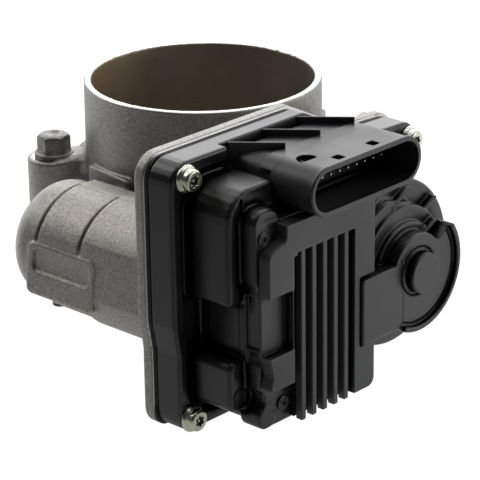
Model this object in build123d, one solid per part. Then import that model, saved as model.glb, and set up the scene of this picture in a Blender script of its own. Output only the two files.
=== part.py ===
from build123d import *
import math
import os

# Electronic throttle body with the control module moulded on its gear cover.
# Millimetres. Origin: bore axis on the manifold face. +Z runs up the bore to the
# inlet collar, +X along the throttle shaft to the gear cover, -Y to the motor.

# ---- duct and collar ----
BORE_D = 75.0
COLLAR_WALL = 2.5
RIM_Z = 72.0
SHAFT_Z = 26.0
BODY_WALL = 5.5
BODY_TOP_Z = 45.5

# ---- manifold flange ----
BOLT_SPACING = BORE_D - 3.0
BOLT_D = 6.0
BOLT_HOLE_D = 6.6
BOLT_SHANK_D = 5.8
BOLT_THREAD_TOP = -0.5
LUG_R = 9.0
SEAT_Z = 45.0
FLANGE_T = 9.0
BOLT_BELOW = 10.0

# ---- throttle shaft and plate ----
SHAFT_D = 10.0
PLATE_T = 2.2
PLATE_GAP = 0.10
REST_ANGLE = 7.0
RUN_GAP = 0.04
BEARING_OD = 22.0
BEARING_W = 7.0
NEEDLE_OD = 16.0
SHAFT_FAR_X = -(BORE_D / 2 + 12.5)

# ---- motor and gear train ----
MOTOR_Y = -(BORE_D / 2 + 21.0)
MOTOR_Z = 28.5
MOTOR_R = 17.4
HOUSING_R = 21.0
MOTOR_FAR_X = -12.0
MODULE = 1.0
PINION_T = 12
IDLER_BIG_T = 38
IDLER_SMALL_T = 16
SECTOR_T = 52 + math.ceil(max(0.0, 2 * (-MOTOR_Y - 58.5)))
SECTOR_TEETH = 16
TIP = 0.8
ROOT = 1.1
BACKLASH = 0.16
MESH_EASE = 0.05

# ---- gear case plate and cover levels along X ----
CASE_BACK_X = BORE_D / 2 + 13.5
CASE_X = CASE_BACK_X + 4.0
GASKET_T = 0.8
SKIRT_X = CASE_X + 11.0
FLOOR_X = CASE_X + 9.0
BOX_X = CASE_X + 27.0
STAKE_X = CASE_X + 33.0
PANEL_X = CASE_X + 37.5
DISC_X = CASE_X + 38.5
SHAFT_END_X = CASE_X + 31.0
WALL = 2.5

# outline of the gear case plate: (y, z, corner radius)
CASE_TOP_Z = 78.0
CASE_LOW_Z = -12.0
CASE_LEFT_Y = MOTOR_Y - 25.5
CASE_RIGHT_Y = 33.0
OUTLINE = [
    (CASE_LEFT_Y, CASE_TOP_Z, 8.0),
    (CASE_LEFT_Y, 24.5, 6.0),
    (CASE_LEFT_Y + 1.7, 15.0, 6.0),
    (CASE_LEFT_Y + 1.7, CASE_LOW_Z, 6.5),
    (CASE_RIGHT_Y, CASE_LOW_Z, 10.0),
    (CASE_RIGHT_Y, 63.5, 7.0),
    (8.0, 64.5, 10.0),
    (-19.0, CASE_TOP_Z, 6.0),
]
COVER_SCREWS = [
    (CASE_LEFT_Y + 7.0, CASE_TOP_Z - 6.0),
    (CASE_LEFT_Y + 7.0, CASE_LOW_Z + 5.5),
    (CASE_RIGHT_Y - 5.2, 57.0),
    (CASE_RIGHT_Y - 6.5, CASE_LOW_Z + 6.5),
]
SCREW_D = 4.0
SCREW_HEAD_D = 7.0
SCREW_FLANGE_D = 8.8

# ---- connector ----
CONN_Y = MOTOR_Y + 27.75
CONN_Z = RIM_Z - 4.5
CONN_HALF_W = 25.8
CONN_HALF_H = 7.9
CONN_BACK_X = CASE_X + 25.0
CONN_FRONT_X = CASE_X + 43.0
CONN_WALL = 1.6
PIN_COUNT = 10
PIN_PITCH = 4.0

DISC_R = 20.0
DOME_R = 28.0

# ---- control module panel on the cover ----
PANEL_TALL = 65.8
PANEL_WIDE = 49.0
FIN_PITCH = 5.0
FIN_SLOT = 3.0
FIN_SLOTS = 6
FIN_LAST_GAP = 7.7
STAKE_R = 1.3

# ---- small pieces ----
PLATE_SCREW_X = 14.0
SPRING_R = 11.2
SPRING_WIRE = 1.3
SPRING_TURNS = 5
MOTOR_SCREW_R = 1.5
MOTOR_SHAFT_R = 1.6
DOWEL_R = 2.0
CIRCLIP_X = CASE_X + 13.5

# ---- derived ----
BORE_R = BORE_D / 2
COLLAR_R = BORE_R + COLLAR_WALL
BODY_R = BORE_R + BODY_WALL
SHAFT_R = SHAFT_D / 2
PITCH_PIN = MODULE * PINION_T / 2
PITCH_BIG = MODULE * IDLER_BIG_T / 2
PITCH_SMALL = MODULE * IDLER_SMALL_T / 2
PITCH_SECTOR = MODULE * SECTOR_T / 2
ARM_MOTOR = PITCH_PIN + PITCH_BIG + MESH_EASE
ARM_SHAFT = PITCH_SMALL + PITCH_SECTOR + MESH_EASE
SPAN = math.hypot(MOTOR_Y, MOTOR_Z - SHAFT_Z)
ALONG = (SPAN ** 2 + ARM_SHAFT ** 2 - ARM_MOTOR ** 2) / (2 * SPAN)
ASIDE = math.sqrt(max(ARM_SHAFT ** 2 - ALONG ** 2, 0.0))
UY = MOTOR_Y / SPAN
UZ = (MOTOR_Z - SHAFT_Z) / SPAN
IDLER_Y = ALONG * UY - ASIDE * UZ
IDLER_Z = SHAFT_Z + ALONG * UZ + ASIDE * UY
IDLER_PIN_R = 2.5
SECTOR_X0 = CASE_X + 5.5
SECTOR_X1 = CASE_X + 10.0
BIG_X0 = CASE_X + 11.0
BIG_X1 = CASE_X + 15.0
TO_IDLER = math.atan2(IDLER_Z - SHAFT_Z, IDLER_Y)
TO_SHAFT = TO_IDLER + math.pi
TO_IDLER_M = math.atan2(IDLER_Z - MOTOR_Z, IDLER_Y - MOTOR_Y)
TO_MOTOR = TO_IDLER_M + math.pi
PLATE_R = BORE_R - PLATE_GAP
SEAL_R = SHAFT_R + 3.0
MOTOR_BACK_X = MOTOR_FAR_X + 2.5
MOTOR_SCREW_OFF = (MOTOR_R + 2.7) / math.sqrt(2)
MOTOR_SCREWS = [
    (MOTOR_Y - MOTOR_SCREW_OFF, MOTOR_Z + MOTOR_SCREW_OFF),
    (MOTOR_Y + MOTOR_SCREW_OFF, MOTOR_Z - MOTOR_SCREW_OFF),
]
DOWELS = [(CASE_LEFT_Y + 7.0, CASE_TOP_Z - 22.0), (CASE_RIGHT_Y - 6.5, CASE_LOW_Z + 20.0)]
BOX_LEFT_Y = CASE_LEFT_Y + 14.5
BLOCK_LEFT_Y = CASE_LEFT_Y + 8.0
PANEL_L = CASE_LEFT_Y + 14.5
PANEL_R = PANEL_L + PANEL_WIDE
PANEL_TOP = CONN_Z - CONN_HALF_H - 0.6
PANEL_LOW = PANEL_TOP - PANEL_TALL
FIN_TOP = PANEL_TOP - 9.9
FIN_LAST = PANEL_R - FIN_LAST_GAP
STAKE_PTS = [(PANEL_L + 2.3, PANEL_TOP - 3.6), (PANEL_L + 10.2, PANEL_LOW + 6.1)]
LINK_LEFT = min(PANEL_R - 6.7, -DISC_R - 7.2)
NECK_R = min(12.0, -PANEL_R - 0.2)
STEP_R = min(15.0, -PANEL_R - 0.2)
TERMINAL_Z = MOTOR_Z + MOTOR_R - 7.8
LINK_LOW = SHAFT_Z - 17.2
LINK_TOP = SHAFT_Z + 4.8
PARTS = "parts"


def box(x0, x1, y0, y1, z0, z1):
    size = Box(x1 - x0, y1 - y0, z1 - z0)
    return Pos((x0 + x1) / 2, (y0 + y1) / 2, (z0 + z1) / 2) * size


def cyl_x(y, z, r, x0, x1):
    bar = Cylinder(r, x1 - x0, align=(Align.CENTER, Align.CENTER, Align.MIN))
    return Pos(x0, y, z) * Rot(0, 90, 0) * bar


def cyl_z(x, y, r, z0, z1):
    bar = Cylinder(r, z1 - z0, align=(Align.CENTER, Align.CENTER, Align.MIN))
    return Pos(x, y, z0) * bar


def cone_z(r0, r1, z0, z1):
    bar = Cone(r0, r1, z1 - z0, align=(Align.CENTER, Align.CENTER, Align.MIN))
    return Pos(0, 0, z0) * bar


def cone_x(y, z, r0, r1, x0, x1):
    bar = Cone(r0, r1, x1 - x0, align=(Align.CENTER, Align.CENTER, Align.MIN))
    return Pos(x0, y, z) * Rot(0, 90, 0) * bar


def rounded_polygon(points):
    """Corner points (a, b, radius) as one sketch face in the local XY plane."""
    wire = Polyline(*[(a, b) for a, b, _ in points], close=True)
    face = make_face(wire)
    for a, b, r in points:
        if r > 0:
            corner = face.vertices().sort_by_distance((a, b, 0))[0]
            face = fillet(corner, r)
    return face


def grown(face, amount):
    if amount == 0:
        return face
    return offset(face, amount=amount, kind=Kind.ARC)


def prism_x(face, x0, x1):
    """A sketch drawn as (y, z), extruded from x0 to x1."""
    placed = Plane(origin=(x0, 0, 0), x_dir=(0, 1, 0), z_dir=(1, 0, 0)) * face
    return extrude(placed, amount=x1 - x0)


def rect_face(y0, y1, z0, z1, r=0.0):
    points = [(y0, z0, r), (y1, z0, r), (y1, z1, r), (y0, z1, r)]
    return rounded_polygon(points)


def stadium(y, z, half_w, half_h):
    return Pos(y, z) * SlotOverall(2 * half_w, 2 * half_h)


def clean(shape):
    """One solid, or a compound of the separate solids of one node."""
    solids = shape.solids()
    if len(solids) == 1:
        return solids[0]
    return Compound(children=list(solids))


def write(name, shape):
    export_step(clean(shape), PARTS + "/" + name + ".step")


# ---------------------------------------------------------------- housing
def flange_lugs():
    half = BOLT_SPACING / 2
    lugs = None
    for sx in (-1, 1):
        for sy in (-1, 1):
            x = sx * half
            y = sy * half
            post = cyl_z(x, y, LUG_R, 0, SEAT_Z)
            reach = BORE_R * 0.80
            web_size = Box(1.55 * LUG_R, 1.55 * LUG_R, SEAT_Z)
            web = Pos(x * 0.86, y * 0.86, SEAT_Z / 2) * Rot(0, 0, 45 * sx * sy) * web_size
            foot = Pos((x + sx * reach) / 2, y / 2, FLANGE_T / 2) * Box(LUG_R, half, FLANGE_T)
            lug = post + web + foot
            lugs = lug if lugs is None else lugs + lug
    return lugs


def motor_shell():
    shell = cyl_x(MOTOR_Y, MOTOR_Z, HOUSING_R, MOTOR_FAR_X + 4, CASE_BACK_X + 1)
    dome = cone_x(MOTOR_Y, MOTOR_Z, HOUSING_R - 5, HOUSING_R, MOTOR_FAR_X - 4, MOTOR_FAR_X + 4)
    collar = cyl_x(MOTOR_Y, MOTOR_Z, HOUSING_R + 1.2, CASE_BACK_X - 22, CASE_BACK_X + 1)
    label_y = MOTOR_Y - HOUSING_R - 0.9
    label = box(-4, 27, label_y, MOTOR_Y, MOTOR_Z - 11, MOTOR_Z + 6)
    bridge = box(MOTOR_FAR_X, CASE_BACK_X, MOTOR_Y, 0, MOTOR_Z - 13, MOTOR_Z + 12)
    return shell + dome + collar + label + bridge


def case_plate():
    plate = prism_x(rounded_polygon(OUTLINE), CASE_BACK_X, CASE_X)
    for y, z in COVER_SCREWS[2:]:
        plate += cyl_x(y, z, 5.0, CASE_BACK_X - 5, CASE_BACK_X + 1)
    boss = cyl_x(0, SHAFT_Z, BEARING_OD / 2 + 5.0, 0, CASE_BACK_X + 1)
    web = box(20, CASE_BACK_X + 1, -18, 18, 6, SHAFT_Z + 12)
    return plate + boss + web


def throttle_housing():
    body = cyl_z(0, 0, BODY_R, 0, BODY_TOP_Z - 4)
    body += cone_z(BODY_R, COLLAR_R + 0.5, BODY_TOP_Z - 4, BODY_TOP_Z)
    body += cyl_z(0, 0, COLLAR_R, BODY_TOP_Z, RIM_Z)
    body += flange_lugs()
    body += motor_shell()
    body += case_plate()
    body += cyl_x(0, SHAFT_Z, NEEDLE_OD / 2 + 4, SHAFT_FAR_X - 6, 0)
    body -= cyl_z(0, 0, BORE_R, -1, RIM_Z + 1)
    # shaft passage, bearing seats and spring pocket
    body -= cyl_x(0, SHAFT_Z, SHAFT_R + 0.3, SHAFT_FAR_X - 7, CASE_X + 1)
    body -= cyl_x(0, SHAFT_Z, NEEDLE_OD / 2, SHAFT_FAR_X - 7, SHAFT_FAR_X + 8)
    body -= cyl_x(0, SHAFT_Z, SEAL_R, BORE_R + 3.0, CASE_X)
    body -= cyl_x(0, SHAFT_Z, BEARING_OD / 2, CASE_BACK_X - 1 - BEARING_W, CASE_X + 1)
    body -= cyl_x(0, SHAFT_Z, SPRING_R + 2.6, CASE_BACK_X - 1, CASE_X + 1)
    # motor cavity
    body -= cyl_x(MOTOR_Y, MOTOR_Z, MOTOR_R + 0.4, MOTOR_FAR_X, CASE_X + 1)
    # fastener holes
    half = BOLT_SPACING / 2
    for sx in (-1, 1):
        for sy in (-1, 1):
            body -= cyl_z(sx * half, sy * half, BOLT_HOLE_D / 2, -1, SEAT_Z + 1)
    for y, z in COVER_SCREWS:
        body -= cyl_x(y, z, SCREW_D / 2, CASE_BACK_X - 6, CASE_X + 1)
    for y, z in MOTOR_SCREWS:
        body -= cyl_x(y, z, MOTOR_SCREW_R, CASE_BACK_X - 3.0, CASE_X + 1)
    for y, z in DOWELS:
        body -= cyl_x(y, z, DOWEL_R, CASE_BACK_X + 1.0, CASE_X + 1)
    body -= cyl_x(IDLER_Y, IDLER_Z, IDLER_PIN_R, CASE_BACK_X - 1.5, CASE_X + 1)
    return body


# ---------------------------------------------------------------- throttle assembly
def turned(shape):
    """Turn a throttle piece from the closed to the spring-held resting angle."""
    return Pos(0, 0, SHAFT_Z) * Rot(REST_ANGLE, 0, 0) * Pos(0, 0, -SHAFT_Z) * shape


def throttle_plate():
    disc = cyl_z(0, 0, PLATE_R, SHAFT_Z - PLATE_T / 2, SHAFT_Z + PLATE_T / 2)
    for x in (-PLATE_SCREW_X, PLATE_SCREW_X):
        disc -= cyl_z(x, 0, 2.0, 0, RIM_Z)
    return turned(disc)


def throttle_shaft():
    bar = cyl_x(0, SHAFT_Z, SHAFT_R, SHAFT_FAR_X, SHAFT_END_X)
    low = SHAFT_Z - PLATE_T / 2
    reach = BORE_R - 0.1
    slot = box(-reach, reach, -SHAFT_R, SHAFT_R, low, low + PLATE_T)
    flat_z = SHAFT_Z + 0.72 * SHAFT_R
    flat = box(-BORE_R + 3, BORE_R - 3, -SHAFT_R, SHAFT_R, flat_z, flat_z + SHAFT_R)
    groove = cyl_x(0, SHAFT_Z, SHAFT_R, CIRCLIP_X, CIRCLIP_X + 1.2)
    groove -= cyl_x(0, SHAFT_Z, SHAFT_R - 0.8, CIRCLIP_X, CIRCLIP_X + 1.2)
    bar -= slot
    bar -= flat
    bar -= groove
    for x in (-PLATE_SCREW_X, PLATE_SCREW_X):
        bar -= cyl_z(x, 0, 2.0, 0, RIM_Z)
    return turned(bar)


def plate_screws():
    group = None
    for x in (-PLATE_SCREW_X, PLATE_SCREW_X):
        seat = SHAFT_Z + 0.72 * SHAFT_R
        screw = cyl_z(x, 0, 2.0, SHAFT_Z - SHAFT_R - 0.6, seat)
        screw += cyl_z(x, 0, 3.3, seat, seat + 1.8)
        screw -= box(x - 2.4, x + 2.4, -0.4, 0.4, seat + 1.1, seat + 2.4)
        group = screw if group is None else group + screw
    return turned(group)


def retaining_ring():
    ring = cyl_x(0, SHAFT_Z, SHAFT_R + 1.6, CIRCLIP_X, CIRCLIP_X + 1.2)
    ring -= cyl_x(0, SHAFT_Z, SHAFT_R - 0.8, CIRCLIP_X - 1, CIRCLIP_X + 2)
    mouth = box(CIRCLIP_X - 1, CIRCLIP_X + 2, -2.6, 2.6, SHAFT_Z, SHAFT_Z + 8)
    return turned(ring - mouth)


def bearing_ring(x0, width, outer, inner):
    ring = cyl_x(0, SHAFT_Z, outer, x0, x0 + width)
    hole = cyl_x(0, SHAFT_Z, inner, x0 - 1, x0 + width + 1)
    mid_in = inner + (outer - inner) * 0.34
    mid_out = inner + (outer - inner) * 0.68
    face_groove = cyl_x(0, SHAFT_Z, mid_out, x0 - 1, x0 + 0.6)
    face_groove -= cyl_x(0, SHAFT_Z, mid_in, x0 - 1, x0 + 0.6)
    far = cyl_x(0, SHAFT_Z, mid_out, x0 + width - 0.6, x0 + width + 1)
    far -= cyl_x(0, SHAFT_Z, mid_in, x0 + width - 0.6, x0 + width + 1)
    return ring - hole - face_groove - far


def ball_bearing():
    return bearing_ring(CASE_BACK_X - 1 - BEARING_W, BEARING_W, BEARING_OD / 2, SHAFT_R + RUN_GAP)


def needle_bearing():
    return bearing_ring(SHAFT_FAR_X + 1.0, 7.0, NEEDLE_OD / 2, SHAFT_R + RUN_GAP)


def shaft_seals():
    near = cyl_x(0, SHAFT_Z, SEAL_R, BORE_R + 3.0, CASE_BACK_X - 1 - BEARING_W - 0.2)
    far = cyl_x(0, SHAFT_Z, NEEDLE_OD / 2 - 0.01, SHAFT_FAR_X, SHAFT_FAR_X + 1.0)
    hole = cyl_x(0, SHAFT_Z, SHAFT_R + RUN_GAP, SHAFT_FAR_X - 1, SHAFT_END_X)
    return (near - hole) + (far - hole)


def shaft_end_plug():
    cap = cyl_x(0, SHAFT_Z, NEEDLE_OD / 2, SHAFT_FAR_X - 5.5, SHAFT_FAR_X - 2.0)
    dish = cyl_x(0, SHAFT_Z, NEEDLE_OD / 2 - 1.2, SHAFT_FAR_X - 6.5, SHAFT_FAR_X - 3.4)
    return cap - dish


def involute(angle):
    return math.tan(angle) - angle


def gear_face(teeth, first_angle, count, hub_r=None):
    """Gear outline centred on the origin; first_angle is the middle of tooth 0."""
    pitch = MODULE * teeth / 2
    base = pitch * math.cos(math.radians(20))
    tip = pitch + TIP * MODULE
    root = pitch - ROOT * MODULE
    half = math.pi / (2 * teeth) - BACKLASH / (2 * pitch)
    full = half + involute(math.radians(20))
    low = max(base, root)
    radii = [low + (tip - low) * k / 4 for k in range(5)]
    flank = [(r, full - involute(math.acos(min(1.0, base / r)))) for r in radii]
    if root < base:
        flank = [(root, full)] + flank
    points = []
    for k in range(count):
        mid = first_angle + 2 * math.pi * k / teeth
        for r, a in flank:
            points.append((r * math.cos(mid - a), r * math.sin(mid - a)))
        for r, a in reversed(flank):
            points.append((r * math.cos(mid + a), r * math.sin(mid + a)))
    if hub_r is not None:
        last = first_angle + 2 * math.pi * (count - 1) / teeth
        end = last + math.pi / teeth
        start = first_angle - math.pi / teeth
        points.append((root * math.cos(end), root * math.sin(end)))
        points.append((hub_r * math.cos(end + 0.25), hub_r * math.sin(end + 0.25)))
        points.append((0.0, 0.0))
        points.append((hub_r * math.cos(start - 0.25), hub_r * math.sin(start - 0.25)))
        points.append((root * math.cos(start), root * math.sin(start)))
    return make_face(Polyline(*points, close=True))


def gear_at(face, y, z, x0, x1):
    return Pos(0, y, z) * prism_x(face, x0, x1)


def sector_gear():
    # teeth reach from the contact line back over the whole opening travel
    step = 2 * math.pi / SECTOR_T
    first = TO_IDLER + 2.5 * step - (SECTOR_TEETH - 1) * step
    face = gear_face(SECTOR_T, first, SECTOR_TEETH, 10.0)
    slice_part = gear_at(face, 0, SHAFT_Z, SECTOR_X0, SECTOR_X1)
    hub = cyl_x(0, SHAFT_Z, 13.4, SECTOR_X0, SECTOR_X1)
    hub += cyl_x(0, SHAFT_Z, 9.0, SECTOR_X0, CIRCLIP_X)
    part = slice_part + hub
    mid = first + (SECTOR_TEETH - 1) * step / 2
    for turn in (-0.42, 0.0, 0.42):
        y = 18.6 * math.cos(mid + turn)
        z = SHAFT_Z + 18.6 * math.sin(mid + turn)
        part -= cyl_x(y, z, 3.0, SECTOR_X0 - 1, SECTOR_X1 + 1)
    part -= cyl_x(0, SHAFT_Z, SHAFT_R, SECTOR_X0 - 1, CIRCLIP_X + 1)
    return part


def sensor_rotor():
    rotor = cyl_x(0, SHAFT_Z, 13.0, SHAFT_END_X - 3, SHAFT_END_X)
    rotor += cyl_x(0, SHAFT_Z, 7.5, SHAFT_END_X - 9, SHAFT_END_X - 3)
    for k in range(3):
        a = math.radians(120 * k + 30)
        y = 9.8 * math.cos(a)
        z = SHAFT_Z + 9.8 * math.sin(a)
        rotor -= cyl_x(y, z, 2.6, SHAFT_END_X - 4, SHAFT_END_X + 1)
    rotor -= cyl_x(0, SHAFT_Z, SHAFT_R, SHAFT_END_X - 10, SHAFT_END_X + 1)
    return turned(rotor)


def return_spring():
    x0 = CASE_BACK_X - 1 + SPRING_WIRE / 2 + 0.1
    x1 = SECTOR_X0 - SPRING_WIRE / 2 - 0.3
    pitch = (x1 - x0) / SPRING_TURNS
    path = Helix(pitch=pitch, height=x1 - x0, radius=SPRING_R)
    profile = Plane(path @ 0, z_dir=path % 0) * Circle(SPRING_WIRE / 2)
    coil = sweep(profile, path=path, is_frenet=True)
    return Pos(x0, 0, SHAFT_Z) * Rot(0, 90, 0) * coil


def spring_bush():
    bush = cyl_x(0, SHAFT_Z, 9.6, CASE_BACK_X, SECTOR_X0 - 0.4)
    bush -= cyl_x(0, SHAFT_Z, 8.4, CASE_BACK_X - 1, SECTOR_X0)
    foot = cyl_x(0, SHAFT_Z, 9.6, CASE_BACK_X - 1, CASE_BACK_X)
    foot -= cyl_x(0, SHAFT_Z, 7.6, CASE_BACK_X - 2, CASE_BACK_X + 1)
    return bush + foot


def idler_gear():
    big = gear_face(IDLER_BIG_T, TO_MOTOR + math.pi / IDLER_BIG_T, IDLER_BIG_T)
    small = gear_face(IDLER_SMALL_T, TO_SHAFT, IDLER_SMALL_T)
    part = gear_at(big, IDLER_Y, IDLER_Z, BIG_X0, BIG_X1)
    part += gear_at(small, IDLER_Y, IDLER_Z, SECTOR_X0 - 1.0, BIG_X0)
    part += cyl_x(IDLER_Y, IDLER_Z, 5.0, SECTOR_X0 - 4.5, SECTOR_X0)
    part += cyl_x(IDLER_Y, IDLER_Z, 5.5, BIG_X1, BIG_X1 + 2.0)
    ring = cyl_x(IDLER_Y, IDLER_Z, PITCH_BIG - 3.2, BIG_X1 - 1.2, BIG_X1 + 1)
    ring -= cyl_x(IDLER_Y, IDLER_Z, 7.5, BIG_X1 - 2, BIG_X1 + 2)
    part -= ring
    return part - cyl_x(IDLER_Y, IDLER_Z, IDLER_PIN_R + RUN_GAP, CASE_X - 15, CASE_X + 35)


def idler_pin():
    return cyl_x(IDLER_Y, IDLER_Z, IDLER_PIN_R, CASE_BACK_X - 1.5, BIG_X1 + 4.5)


# ---------------------------------------------------------------- motor
def motor_can():
    can = cyl_x(MOTOR_Y, MOTOR_Z, MOTOR_R, MOTOR_BACK_X, CASE_X - 1.5)
    can -= cyl_x(MOTOR_Y, MOTOR_Z, MOTOR_R - 1.5, MOTOR_BACK_X + 1.5, CASE_X)
    can += cyl_x(MOTOR_Y, MOTOR_Z, 5.0, MOTOR_BACK_X - 1.6, MOTOR_BACK_X)
    can -= cyl_x(MOTOR_Y, MOTOR_Z, MOTOR_SHAFT_R + RUN_GAP, MOTOR_BACK_X - 3, MOTOR_BACK_X + 3)
    return can


def motor_magnets():
    ring = cyl_x(MOTOR_Y, MOTOR_Z, MOTOR_R - 1.5, MOTOR_BACK_X + 10, CASE_X - 14)
    ring -= cyl_x(MOTOR_Y, MOTOR_Z, MOTOR_R - 4.2, MOTOR_BACK_X, CASE_X)
    gap = box(MOTOR_BACK_X, CASE_X, MOTOR_Y - 3, MOTOR_Y + 3, MOTOR_Z - 20, MOTOR_Z + 20)
    return ring - gap


def motor_armature():
    part = cyl_x(MOTOR_Y, MOTOR_Z, MOTOR_SHAFT_R, MOTOR_BACK_X - 1.0, BIG_X1 + 1.0)
    for x in range(3):
        start = MOTOR_BACK_X + 14 + 14 * x
        part += cyl_x(MOTOR_Y, MOTOR_Z, MOTOR_R - 4.8, start, start + 11)
    part += cyl_x(MOTOR_Y, MOTOR_Z, 5.0, MOTOR_BACK_X + 10, CASE_X - 6.0)
    return part


def motor_end_plate():
    plate = cyl_x(MOTOR_Y, MOTOR_Z, MOTOR_R + 1.8, CASE_X, CASE_X + 2.0)
    for y, z in MOTOR_SCREWS:
        plate += cyl_x(y, z, 4.2, CASE_X, CASE_X + 2.0)
    plate += cyl_x(MOTOR_Y, MOTOR_Z, MOTOR_R, CASE_X - 1.5, CASE_X)
    plate += cyl_x(MOTOR_Y, MOTOR_Z, 5.0, CASE_X + 2.0, CASE_X + 4.0)
    plate -= cyl_x(MOTOR_Y, MOTOR_Z, MOTOR_SHAFT_R + RUN_GAP, CASE_X - 3, CASE_X + 6)
    for y, z in MOTOR_SCREWS:
        plate -= cyl_x(y, z, MOTOR_SCREW_R, CASE_X - 1, CASE_X + 3)
    for side in (-1, 1):
        plate -= terminal(side, 0.0)
    return plate


def terminal(side, fit):
    y0 = MOTOR_Y + side * 6.4 - 1.6 - fit
    return box(CASE_X - 6, CASE_X + 14, y0, y0 + 3.2 + 2 * fit, TERMINAL_Z, TERMINAL_Z + 0.8)


def motor_terminals():
    return terminal(-1, 0.0) + terminal(1, 0.0)


def motor_screws():
    group = None
    for y, z in MOTOR_SCREWS:
        screw = cyl_x(y, z, MOTOR_SCREW_R, CASE_BACK_X - 3.0, CASE_X + 2.0)
        screw += cyl_x(y, z, 2.9, CASE_X + 2.0, CASE_X + 4.0)
        screw -= cyl_x(y, z, 1.3, CASE_X + 2.9, CASE_X + 5)
        group = screw if group is None else group + screw
    return group


def motor_pinion():
    face = gear_face(PINION_T, TO_IDLER_M, PINION_T)
    part = gear_at(face, MOTOR_Y, MOTOR_Z, BIG_X0 - 1.5, BIG_X1 + 1.0)
    part += cyl_x(MOTOR_Y, MOTOR_Z, 4.0, CASE_X + 5.0, BIG_X0 - 1.5)
    return part - cyl_x(MOTOR_Y, MOTOR_Z, MOTOR_SHAFT_R, CASE_X, BIG_X1 + 2)


def wave_washer():
    ring = cyl_x(MOTOR_Y, MOTOR_Z, 11.0, MOTOR_FAR_X + 0.05, MOTOR_FAR_X + 0.75)
    return ring - cyl_x(MOTOR_Y, MOTOR_Z, 7.5, MOTOR_FAR_X - 1, MOTOR_FAR_X + 3)


# ---------------------------------------------------------------- cover
def cover_solid():
    skirt_face = grown(rounded_polygon(OUTLINE), -0.9)
    skirt = prism_x(skirt_face, CASE_X + GASKET_T, SKIRT_X)
    field = prism_x(grown(rounded_polygon(OUTLINE), -5.4), FLOOR_X, SKIRT_X + 1)
    for y, z in COVER_SCREWS:
        field -= cyl_x(y, z, 5.6, FLOOR_X - 1, SKIRT_X + 2)
    body = skirt - field
    main = prism_x(rect_face(BOX_LEFT_Y, PANEL_R + 2, -5.5, 64.0, 4.0), FLOOR_X - 2, BOX_X)
    shoulder = [
        (BLOCK_LEFT_Y, 34.0, 1.5),
        (BOX_LEFT_Y + 14, 34.0, 0),
        (BOX_LEFT_Y + 14, 69.5, 2.0),
        (BLOCK_LEFT_Y, 69.5, 10.0),
    ]
    upper = prism_x(rounded_polygon(shoulder), FLOOR_X - 2, BOX_X)
    lower = prism_x(rect_face(BLOCK_LEFT_Y, BOX_LEFT_Y + 12, -1.2, 15.5, 3.0), FLOOR_X - 2, BOX_X)
    tray = prism_x(rect_face(PANEL_L - 1.0, PANEL_R + 1, -7.4, 62.0, 4.0), BOX_X - 1, STAKE_X)
    side = prism_x(rect_face(-24.0, 16.0, -4.0, 58.0, 6.0), FLOOR_X - 2, BOX_X - 6.0)
    body += main + upper + lower + tray + side
    body += cyl_x(0, SHAFT_Z, DOME_R, FLOOR_X - 2, BOX_X + 1.0)
    return body


def disc_cap():
    cap = cyl_x(0, SHAFT_Z, DISC_R, BOX_X, DISC_X)
    link = box(BOX_X, DISC_X, LINK_LEFT, 0, LINK_LOW, LINK_TOP)
    cap += link
    # the upper left quarter is set back, leaving the round neck of the boss
    high = SHAFT_Z + 34.0
    corner = (3.0, LINK_TOP, 0)
    cut = rounded_polygon([
        (-30, LINK_TOP, 0),
        corner,
        (21.0, LINK_TOP + 11.4, 0),
        (21.0, high, 0),
        (-30, high, 0),
    ])
    set_back = prism_x(cut, STAKE_X - 1.0, DISC_X + 3) - cyl_x(0, SHAFT_Z, NECK_R, BOX_X - 2, DISC_X + 4)
    cap -= set_back
    cap += cyl_x(0, SHAFT_Z, STEP_R, BOX_X, STAKE_X + 0.5)
    lip = cyl_x(0, SHAFT_Z, DISC_R, DISC_X, DISC_X + 1.5)
    lip -= cyl_x(0, SHAFT_Z, DISC_R - 1.6, DISC_X, DISC_X + 2)
    lip -= box(DISC_X - 1, DISC_X + 3, -30, -7.0, 0, 60)
    lip -= prism_x(cut, BOX_X - 2.0, DISC_X + 3)
    cap += lip
    cap += cyl_x(0, SHAFT_Z, 6.8, DISC_X, DISC_X + 3.3)
    return cap


def cover_hollow():
    skirt_in = grown(rounded_polygon(OUTLINE), -4.4)
    hollow = prism_x(skirt_in, CASE_X, FLOOR_X - WALL)
    for y, z in COVER_SCREWS:
        hollow -= cyl_x(y, z, 5.2, CASE_X - 1, FLOOR_X)
    for y, z in DOWELS:
        hollow -= cyl_x(y, z, 4.0, CASE_X + GASKET_T, FLOOR_X)
    hollow += box(CASE_X + 5, BOX_X - WALL - 2.0, BOX_LEFT_Y + WALL, PANEL_R - 0.5, -5.5 + WALL, 64.0 - WALL)
    hollow += cyl_x(IDLER_Y, IDLER_Z, PITCH_BIG + 1.8, CASE_X + 5, BIG_X1 + 3.5)
    hollow += box(BOX_X - WALL - 3.0, STAKE_X - 1.6, PANEL_L + 3.0, PANEL_R - 2.0, 2.0, 57.0)
    hollow += cyl_x(0, SHAFT_Z, PITCH_SECTOR + TIP + 0.5, CASE_X + 3, SECTOR_X1 + 0.6)
    hollow += cyl_x(0, SHAFT_Z, DOME_R - WALL, CASE_X + 5, BOX_X + 1.0 - WALL)
    hollow += cyl_x(0, SHAFT_Z, DISC_R - 5.2, CASE_X + 15, DISC_X - WALL - 4.4)
    return hollow


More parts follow.
